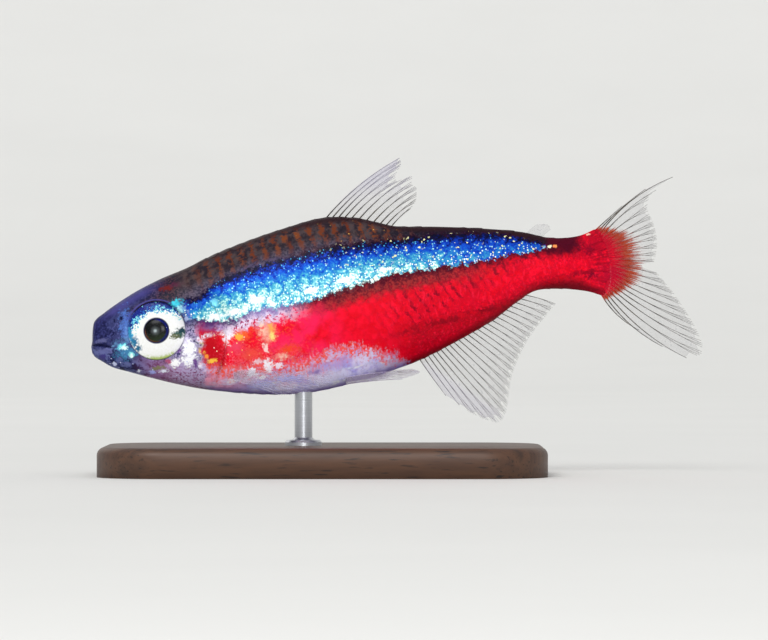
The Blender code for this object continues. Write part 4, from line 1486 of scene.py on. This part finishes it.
@shared("centre rim", "colour")
def flank_colours(finish, centre, rim):
    """The red over the belly, with its patches, and the dark and lilac border under the stripe."""
    mix, rise, times, plus, centred = finish.tools("mix rise times plus centred")
    minus, hump, mottled, over = finish.tools("minus hump mottled over")
    f = fields(finish)
    along = functools.partial(rise, f.station)
    belly = belly_colours(finish).colour
    red = red_colours(finish).colour
    hairs = finish.noise(
        finish.stretched(f.place, (230.0, 80.0, 46.0), (0, math.radians(10), 0)), 1.0, 2.0
    )
    above_red = minus(f.edge, finish.line(f.station, RED_BOTTOM))
    above_red = plus(above_red, centred(hairs, 0.040), centred(f.broad, 0.03), centred(f.fine, 0.02))
    begins = rise(plus(f.station, centred(f.fine, 0.02)), 0.198, 0.210)
    fringe = times(hump(above_red, -0.004, 0.022), along(0.60, 0.50), begins)
    blush = times(rise(above_red, -0.050, -0.012), along(0.54, 0.46), 0.45)
    flank = over(belly, (228, 132, 150), blush)
    flank = mix(times(rise(above_red, -0.018, 0.012), begins), flank, red)
    flank = over(flank, (250, 84, 44), fringe, rise(f.fine, 0.40, 0.60), 0.8)
    flank = spots(finish, flank, f.station, f.height, f.ragged, SOFT_SPOTS, 1.0)
    flank = spots(finish, flank, f.station, f.height, f.ragged, FLANK_SPOTS)
    embers = times(rise(f.speck, 0.90, 0.93), hump(f.station, 0.26, 0.09), rise(f.edge, -0.085, -0.060))
    flank = mix(embers, flank, mottled(f.sparkle, 0.3, 0.7, (252, 176, 70), (255, 214, 206)))
    flank = spots(finish, flank, f.station, f.height, f.ragged, TAIL_SPOTS, 0.9)
    spread = finish.add("ShaderNodeCombineXYZ")
    finish.feed(spread.inputs[0], times(f.station, 12.0))
    centre_up = minus(f.height, 0.006)
    finish.feed(spread.inputs[1], finish.sum("DIVIDE", times(centre_up, 26.0), minus(f.station, 0.86)))
    rays = times(rise(finish.noise(spread.outputs[0], 1.0, 2.0), 0.46, 0.62), along(0.958, 0.990))
    flank = over(flank, (150, 2, 28), rays, 0.75)
    under = minus(finish.line(f.station, STRIPE_BOTTOM), plus(f.edge, times(centre, -0.006)))
    front = along(0.44, 0.34)
    flank = over(flank, (112, 62, 122), rise(under, 0.034, 0.014), front, 0.62)
    lilac = times(
        rise(under, 0.036, 0.012),
        front,
        along(0.235, 0.285),
        rise(plus(f.fine, times(f.station, 0.5)), 0.54, 0.64),
    )
    flank = over(flank, (244, 226, 250), lilac)
    shade = times(
        rise(plus(under, centred(f.middling, 0.03)), 0.044, 0.020), along(0.40, 0.48), along(0.84, 0.66)
    )
    flank = mix(times(shade, 0.95), flank, mottled(f.fine, 0.40, 0.60, (96, 20, 34), (150, 44, 44)))
    border = mix(front, paint(74, 2, 26), mottled(f.station, 0.27, 0.33, (60, 44, 100), (146, 126, 186)))
    beside = rise(plus(f.station, centred(f.fine, 0.03)), 0.968, 0.940)
    flank = mix(
        times(rise(plus(under, centred(f.fine, 0.012)), 0.020, 0.004), beside, 0.92), flank, border
    )
    flank = spots(finish, flank, f.station, f.height, times(f.ragged, 0.9), END_GLINTS)
    return (over(flank, (90, 20, 60), rim, 0.06),)


@shared("centre rim own", "colour")
def back_colours(finish, centre, rim, own):
    """Smoky brown with upright bars of warm brown, greyer lower down and nearly black behind."""
    mix, rise, times, plus, centred = finish.tools("mix rise times plus centred")
    mottled, over = finish.tools("mottled over")
    f = fields(finish)
    along = functools.partial(rise, f.station)
    back = mottled(f.middling, 0.38, 0.62, (40, 32, 40), (72, 60, 62))
    low = rise(plus(f.below_back, centred(f.middling, 0.02)), 0.030, 0.060)
    back = mix(low, back, mottled(f.fine, 0.4, 0.6, (52, 46, 68), (90, 80, 100)))
    phase = plus(f.station, times(f.height, 0.20), centred(f.middling, 0.020))
    bars = finish.sum("SINE", times(phase, 2 * math.pi / 0.0235))
    warm = plus(times(bars, 0.36), times(centre, 0.34), centred(f.fine, 1.7), centred(f.middling, 1.1))
    warm = times(rise(warm, 0.0, 0.70), rise(plus(f.below_back, centred(f.fine, 0.04)), 0.074, 0.030))
    warm = times(warm, along(0.18, 0.27))
    back = mix(warm, back, mix(own, paint(98, 42, 24), paint(120, 64, 36)))
    back = over(back, (36, 28, 44), rim, 0.18)
    dusk = along(0.56, 0.68)
    back = mix(dusk, back, mottled(f.fine, 0.46, 0.62, (14, 14, 34), (42, 32, 50)))
    # Painted glints: golden specks over the rear of the back
    gold_glints = times(rise(f.speck, 0.965, 0.975), along(0.40, 0.52))
    back = over(back, (206, 170, 84), gold_glints)
    return (over(back, (42, 20, 26), rise(f.below_back, 0.014, 0.002)),)


@shared("centre rim", "colour level mask")
def stripe_colours(finish, centre, rim):
    """The glittering stripe: deep blue above, turquoise below, with painted glints of crystals crowding
    its lower edge.
    """
    mix, rise, times, plus, centred = finish.tools("mix rise times plus centred")
    minus, mottled, over = finish.tools("minus mottled over")
    f = fields(finish)
    along = functools.partial(rise, f.station)
    low_stripe = finish.line(f.station, STRIPE_BOTTOM)
    depth = minus(finish.line(f.station, STRIPE_TOP), low_stripe)
    depth = finish.sum("MAXIMUM", depth, 0.004)
    level = finish.sum("DIVIDE", minus(f.edge, low_stripe), depth)
    start = finish.line(f.station, STRIPE_STARTS)
    climb = minus(1.14, times(start, 1.3))
    # The palest level: the lower edge, but a fifth of the way up behind the head
    core = times(along(0.205, 0.240), along(0.50, 0.42), 0.20)
    past = finish.sum("DIVIDE", minus(level, core), minus(1.0, core))
    shifted = plus(start, times(past, past, climb), 0.03)
    shifted = plus(shifted, centred(f.grain, 0.10), centred(f.broad, -0.24), centred(f.middling, -0.60))
    shifted = plus(shifted, centred(f.fine, -0.60), times(rim, 0.08), times(centre, -0.10))
    stripe = finish.ramp(shifted, STRIPE_COLOURS)
    crowd = times(plus(start, rise(level, -0.1, 1.0)), 0.42)
    dense = plus(crowd, centred(f.middling, -0.7), centred(f.fine, -0.6), times(centre, -0.08), 0.40)
    # Painted glints: pale crystals crowding towards the stripe's lower edge
    glints = times(rise(minus(f.speck, dense), 0.0, 0.04), rise(level, 1.08, 0.9))
    pale = mottled(level, 0.20, 0.50, (248, 255, 252), (166, 230, 220))
    pale = over(pale, (66, 166, 220), rise(level, 0.55, 0.90))
    stripe = mix(times(glints, 0.92), stripe, pale)
    # Painted glints: golden specks along the stripe from its middle back
    gilded_glints = times(rise(f.sparkle, 0.975, 0.985), along(0.44, 0.56))
    stripe = over(stripe, (236, 232, 170), gilded_glints)
    stripe = spots(finish, stripe, f.station, f.height, f.ragged, STRIPE_SPOTS)
    begins = rise(plus(f.station, centred(f.fine, 0.03)), 0.165, 0.200)
    ends = rise(plus(f.station, centred(f.fine, 0.03)), 0.895, 0.880)
    return stripe, level, times(rise(level, -0.03, 0.05), begins, ends)


@shared("", "colour")
def head_colours(finish):
    """Smoky violet and translucent, with dark lips, a lilac crown and throat, and a pale cheek."""
    mix, rise, times, plus, centred = finish.tools("mix rise times plus centred")
    hump, mottled, over = finish.tools("hump mottled over")
    f = fields(finish)
    along = functools.partial(rise, f.station)
    patchy = plus(f.middling, centred(f.broad, 0.5), centred(f.fine, 0.5))
    head = mottled(patchy, 0.34, 0.66, (22, 24, 62), (56, 60, 108))
    head = over(head, (92, 98, 158), rise(f.fine, 0.54, 0.66), rise(f.broad, 0.4, 0.6), 0.5)
    crown = hump(plus(f.below_back, centred(f.fine, 0.008)), 0.010, 0.014)
    under_crown = times(hump(f.below_back, 0.038, 0.024), along(0.05, 0.09))
    head = mix(times(under_crown, 0.85), head, mottled(f.fine, 0.4, 0.62, (36, 28, 42), (66, 46, 60)))
    head = over(head, (70, 66, 132), crown, 0.85)
    head = over(head, (48, 46, 108), rise(f.below_back, 0.005, 0.001))
    snout = rise(plus(f.station, centred(f.middling, 0.03)), 0.056, 0.020)
    head = mix(times(snout, 0.8), head, mottled(f.fine, 0.42, 0.6, (18, 20, 60), (42, 44, 96)))
    jaw = times(rise(plus(f.height, times(f.station, 0.5)), 0.004, -0.012), along(0.15, 0.08))
    jaw_colour = mottled(patchy, 0.4, 0.6, (52, 58, 116), (100, 108, 160))
    head = mix(times(jaw, rise(patchy, 0.36, 0.50), 0.85), head, jaw_colour)
    throat = times(rise(f.above_belly, 0.060, 0.028), along(0.06, 0.14))
    head = mix(throat, head, mottled(patchy, 0.38, 0.64, (132, 76, 116), (172, 134, 180)))
    nape = times(along(0.10, 0.17), rise(f.height, 0.045, 0.070))
    head = mix(nape, head, mottled(f.fine, 0.45, 0.6, (30, 26, 44), (74, 46, 56)))
    gap = eye_gap(finish, f.station, f.height)
    brow = times(hump(gap, 0.0030, 0.0026), rise(f.height, 0.012, 0.040))
    head = over(head, (84, 84, 164), brow, 0.6)
    cheek = times(along(0.12, 0.16), rise(f.height, 0.02, -0.005), rise(f.fine, 0.36, 0.56))
    head = over(head, (184, 170, 208), cheek, 0.8)
    head = spots(finish, head, f.station, f.height, f.ragged, CHEEK_SPOTS)
    glint = times(
        rise(f.speck, 0.955, 0.97), rise(plus(f.height, centred(f.middling, 0.08)), -0.01, -0.04), 0.85
    )
    return (over(head, (206, 214, 250), glint),)


def body_finish(name, scaled=False):
    """The markings of the living fish, worked out over its station and height.

    Each scale also has a darker rim and its own small difference of tone."""
    finish = Finish(name)
    mix, rise, times, plus, centred = finish.tools("mix rise times plus centred")
    minus, hump = finish.tools("minus hump")
    f = fields(finish)
    centre, rim, own = 0.5, 0.0, 0.5
    if scaled:
        back_along, aside = finish.own_place("scale")
        own, _ = finish.own_place("own")
        # The rear edge is an arc, and 1 on it
        aside = finish.sum("ABSOLUTE", minus(aside, 0.5))
        reach = plus(back_along, times(aside, aside, 0.5))
        rim = rise(reach, 0.84, 0.97)
        centre = times(hump(back_along, 0.68, 0.28), rise(aside, 0.52, 0.20))
    stripe = stripe_colours(finish, centre, rim)
    above = times(rise(stripe.level, 0.94, 1.08), rise(f.station, 0.905, 0.885))
    colour = mix(
        above, flank_colours(finish, centre, rim).colour, back_colours(finish, centre, rim, own).colour
    )
    colour = mix(times(stripe.mask, rise(stripe.level, 1.12, 0.94)), colour, stripe.colour)
    behind = rise(plus(f.station, centred(f.middling, 0.04)), 0.198, 0.214)
    colour = mix(finish.sum("MAXIMUM", behind, stripe.mask), head_colours(finish).colour, colour)
    shine = times(stripe.mask, rise(stripe.level, 1.05, 0.8))
    finish.set(Base_Color=colour, Metallic=times(shine, 0.30))
    finish.set(Roughness=plus(0.34, times(f.grain, 0.14)), Specular_IOR_Level=0.05)
    finish.set(Coat_Weight=0.03, Coat_Roughness=0.08)
    bumps = plus(times(f.grain, 0.4), times(f.fine, 0.6))
    if scaled:
        streaks = finish.sum("SINE", times(aside, 60.0))
        bumps = plus(bumps, times(streaks, 0.16, rise(back_along, 0.4, 0.8)))
    finish.relief(bumps, 0.16, 0.00003)
    return finish.material


def eye_gap(finish, station, height):
    """How far a point of the skin is outside the eye's rim, in shares of the length."""
    along = finish.minus(station, EYE_AT[0])
    up = finish.minus(height, EYE_AT[1])
    away = finish.sum("SQRT", finish.plus(finish.times(along, along), finish.times(up, up)))
    return finish.minus(away, EYE_RADIUS / SL)


# Dark and turquoise places of the iris, in shares of the eye's radius
IRIS_SPOTS = (
    (0.80, -0.22, 0.24, 0.16, (52, 92, 84)),
    (0.86, -0.12, 0.14, 0.10, (20, 64, 76)),
    (0.58, -0.30, 0.16, 0.08, (96, 104, 66)),
    (-0.82, -0.26, 0.13, 0.20, (40, 118, 160)),
    (-0.72, -0.50, 0.12, 0.13, (36, 104, 140)),
    (-0.92, 0.10, 0.06, 0.30, (50, 150, 190)),
)


def iris_finish():
    """A creamy silver ring, blue and turquoise along its top, dark at two places of its rim."""
    finish = Finish("iris")
    rise, times, plus, centred = finish.tools("rise times plus centred")
    minus, mottled, over = finish.tools("minus mottled over")
    place, station, height = finish.fish_place()
    x = times(minus(station, EYE_AT[0]), SL / EYE_RADIUS)
    y = times(minus(height, EYE_AT[1]), SL / EYE_RADIUS)
    away = finish.sum("SQRT", plus(times(x, x), times(y, y)))
    grain, sparkle, _ = finish.cells(place, 300.0)
    fine = finish.noise(place, 260.0, 2.0)
    ragged = plus(centred(fine, 0.5), centred(grain, 0.30))
    colour = mottled(fine, 0.38, 0.62, (250, 251, 246), (255, 255, 254))
    colour = over(colour, (250, 250, 246), rise(plus(away, ragged), 0.62, 0.42))
    # How far into the crescent along the upper front rim
    lean = plus(times(y, 0.95), times(x, -0.30))
    depth = plus(lean, times(away, 1.65), times(ragged, 1.7))
    colour = over(colour, (110, 216, 226), rise(depth, 1.62, 1.72))
    colour = over(colour, (22, 112, 200), rise(depth, 1.72, 1.86))
    colour = over(colour, (8, 30, 132), rise(depth, 1.88, 2.12))
    colour = over(colour, (130, 224, 238), rise(sparkle, 0.90, 0.92), rise(depth, 1.7, 1.8))
    low = times(rise(plus(times(y, -1.0), times(ragged, 0.5)), 0.72, 0.95), rise(away, 0.80, 0.96))
    colour = over(colour, (176, 196, 96), low)
    colour = spots(finish, colour, x, y, times(ragged, 2.4), IRIS_SPOTS)
    colour = over(colour, (18, 24, 72), rise(away, 0.47, 0.425))
    colour = over(colour, (60, 60, 110), rise(away, 0.95, 1.0), 0.6)
    finish.set(
        Base_Color=colour, Roughness=0.45, Specular_IOR_Level=0.15, Coat_Weight=0.1, Coat_Roughness=0.03
    )
    finish.relief(plus(grain, fine), 0.25, 0.00003)
    return finish.material


def pupil_finish():
    """Black, green low in the lens and blue behind, with a soft highlight painted near its middle."""
    finish = Finish("pupil")
    rise, times, plus = finish.tools("rise times plus")
    minus, mottled, over = finish.tools("minus mottled over")
    place, station, height = finish.fish_place()
    x = times(minus(station, EYE_AT[0]), SL / PUPIL_RADIUS)
    y = times(minus(height, EYE_AT[1]), SL / PUPIL_RADIUS)
    fine = finish.noise(place, 160.0, 2.0)
    colour = mottled(plus(y, finish.centred(fine, 0.6)), -0.05, -0.85, (3, 4, 6), (34, 48, 26))
    away = finish.sum("SQRT", plus(times(x, x), times(y, y)))
    colour = over(colour, (16, 26, 120), rise(away, 0.74, 0.98), rise(x, -0.2, 0.5))
    ember = times(rise(away, 0.82, 0.98), rise(plus(x, y), -0.5, -1.0))
    colour = over(colour, (150, 84, 50), ember, 0.4)
    # Painted highlight: a soft pale spot near the middle of the lens, painted into its colour
    off_centre = finish.sum("SQRT", plus(times(plus(x, 0.10), plus(x, 0.10)), times(y, y)))
    painted_highlight = plus(times(rise(off_centre, 0.50, 0.05), 0.20), times(rise(off_centre, 0.20, 0.03), 0.70))
    colour = over(colour, (190, 204, 206), painted_highlight)
    finish.set(
        Base_Color=colour, Roughness=0.24, Specular_IOR_Level=0.10, Coat_Weight=0.15, Coat_Roughness=0.14
    )
    return finish.material


# The anal fin's leading edge: its root, and the direction square to it, back and up
ANAL_FRONT = ((0.612, -0.136), (0.683, 0.730))


def fin_finish(name, tint, clear, bone=False, speckled=0.14, folded=False):
    """Clear skin or dark bone of a fin, reddened where it leaves the tail's flesh.

    The folded belly fins are milky at the root, with pale reflections."""
    finish = Finish(name)
    mix, rise, times, plus, centred = finish.tools("mix rise times plus centred")
    hump, mottled, over = finish.tools("hump mottled over")
    place, station, height = finish.fish_place()
    fine = finish.noise(place, 150.0)
    middling = finish.noise(place, 50.0)
    other = mix(0.4, tint, paint(214, 212, 218) if not bone else paint(128, 116, 96))
    colour = mix(rise(fine, 0.36, 0.64), tint, other)
    high = times(rise(height, 0.165, 0.235), rise(station, 0.72, 0.66))
    colour = over(colour, (186, 182, 202), high, 0.85 if not bone else 0.5)
    # How far a point is behind the anal fin's leading edge
    (root_at, root_low), (lean_s, lean_h) = ANAL_FRONT
    front = plus(times(station, lean_s), times(height, lean_h), -root_at * lean_s - root_low * lean_h)
    leading = times(rise(front, 0.018, 0.004), rise(height, -0.128, -0.140), rise(station, 0.60, 0.615))
    colour = over(colour, (170, 162, 190), leading, 0.8 if not bone else 0.2)
    squared = times(height, height, 1 / REAR_HALF**2)
    round_end = times(squared, squared, 0.055)
    reach = plus(station, round_end, centred(middling, 0.02))
    streaks = fine
    if bone:
        reach = plus(reach, centred(fine, 0.02), -0.008)
    else:
        flat_place = finish.add("ShaderNodeUVMap", uv_map="fin").outputs[0]
        streaks = finish.noise(finish.stretched(flat_place, (16.0, 1.5, 1.0)), 1.0, 2.0)
        reach = plus(reach, centred(streaks, 0.070), centred(fine, 0.01))
    fringe = times(rise(reach, 1.078, 1.050), rise(station, 0.95, 0.98))
    flushed = times(rise(reach, 1.048, 1.018), rise(station, 0.95, 0.98))
    colour = mix(fringe, colour, mottled(streaks, 0.4, 0.6, (176, 58, 4), (140, 26, 4)))
    flesh = mottled(streaks, 0.4, 0.6, (168, 2, 30), (222, 8, 42))
    colour = mix(
        flushed, colour, spots(finish, flesh, station, height, centred(middling, 2.0), TAIL_SPOTS, 0.9)
    )
    finish.set(Base_Color=colour, Roughness=0.32 if bone else 0.24, Specular_IOR_Level=0.12)
    if bone:
        finish.set(Alpha=finish.sum("MAXIMUM", clear, flushed))
    else:
        ends = times(rise(fine, 0.58, 0.72), speckled)
        solid = finish.sum("MAXIMUM", plus(clear, ends), flushed)
        solid = finish.sum("MAXIMUM", solid, times(fringe, 0.80))
        solid = finish.sum("MAXIMUM", solid, times(plus(high, times(leading, 0.5)), 0.32))
        if folded:
            flat_along, flat_out = finish.own_place("fin")
            # Painted reflection: pale streaks over the folded fin's lower rays, in its colour and its
            # opacity
            painted_highlight = times(
                hump(flat_along, 1.8, 0.5), rise(flat_out, 0.75, 0.45), rise(streaks, 0.40, 0.56)
            )
            colour = over(colour, (250, 250, 255), painted_highlight)
            solid = finish.sum("MAXIMUM", times(solid, rise(flat_out, 0.80, 0.25)), times(painted_highlight, 0.9))
            finish.set(Base_Color=colour)
        finish.set(Alpha=solid)
    return finish.material


WALNUT_COLOURS = (
    (0.30, (52, 32, 21)),
    (0.48, (84, 54, 35)),
    (0.62, (66, 41, 27)),
    (0.75, (98, 64, 42)),
)


def wood_finish():
    """Dark oiled walnut with its grain along the base."""
    finish = Finish("walnut")
    place = finish.object_place()
    rings = finish.noise(finish.stretched(place, (60.0, 900.0, 500.0)), 1.0, 4.0, 0.6)
    pores = finish.noise(finish.stretched(place, (500.0, 9000.0, 6000.0)), 1.0, 2.0)
    colour = finish.ramp(rings, WALNUT_COLOURS)
    colour = finish.mix(finish.rise(pores, 0.58, 0.70), colour, paint(38, 24, 16))
    finish.set(Base_Color=colour, Roughness=finish.plus(0.36, finish.times(rings, 0.2)))
    finish.relief(pores, 0.15, 0.00004)
    return finish.material


def steel_finish():
    """Bright steel brushed round the rod."""
    finish = Finish("brushed_steel")
    place = finish.object_place()
    brushing = finish.noise(finish.stretched(place, (300.0, 300.0, 30000.0)), 1.0, 2.0)
    finish.set(Base_Color=finish.mix(brushing, paint(164, 166, 170), paint(206, 208, 212)))
    finish.set(Metallic=1.0, Roughness=finish.plus(0.22, finish.times(brushing, 0.2)))
    return finish.material


def floor_finish():
    """A nearly even, pale grey floor."""
    finish = Finish("pale_floor")
    cloud = finish.noise(finish.object_place(), 30.0, 5.0)
    finish.set(Base_Color=finish.mix(cloud, paint(226, 225, 221), paint(232, 231, 227)), Roughness=0.75)
    finish.relief(finish.noise(finish.object_place(), 4000.0), 0.05, 0.0001)
    return finish.material


def clear_finish():
    """The clear front of the eye."""
    finish = Finish("cornea")
    haze = finish.noise(finish.object_place(), 900.0)
    finish.set(Base_Color=finish.mix(haze, paint(14, 16, 22), paint(20, 22, 28)))
    finish.set(Roughness=finish.times(haze, 0.03), Alpha=0.07)
    return finish.material


def main():
    make_camera()
    make_lights()
    make_floor(floor_finish())
    make_skin(body_finish("fish_skin"))
    make_scales(body_finish("fish_scales", scaled=True))
    make_fins(
        fin_finish("fin_web", paint(150, 148, 150), 0.13),
        fin_finish("fin_ray", paint(50, 46, 46), 0.92, bone=True),
        fin_finish("pectoral_fin_web", paint(216, 212, 236), 0.03, speckled=0.04),
        fin_finish("pelvic_fin_web", paint(200, 184, 224), 0.46, speckled=0.20, folded=True),
        fin_finish("belly_fin_ray", paint(212, 206, 232), 0.28, bone=True),
    )
    for side in (-1, 1):
        make_eye(side, iris_finish(), pupil_finish(), clear_finish())
    make_stand(wood_finish(), steel_finish())


main()
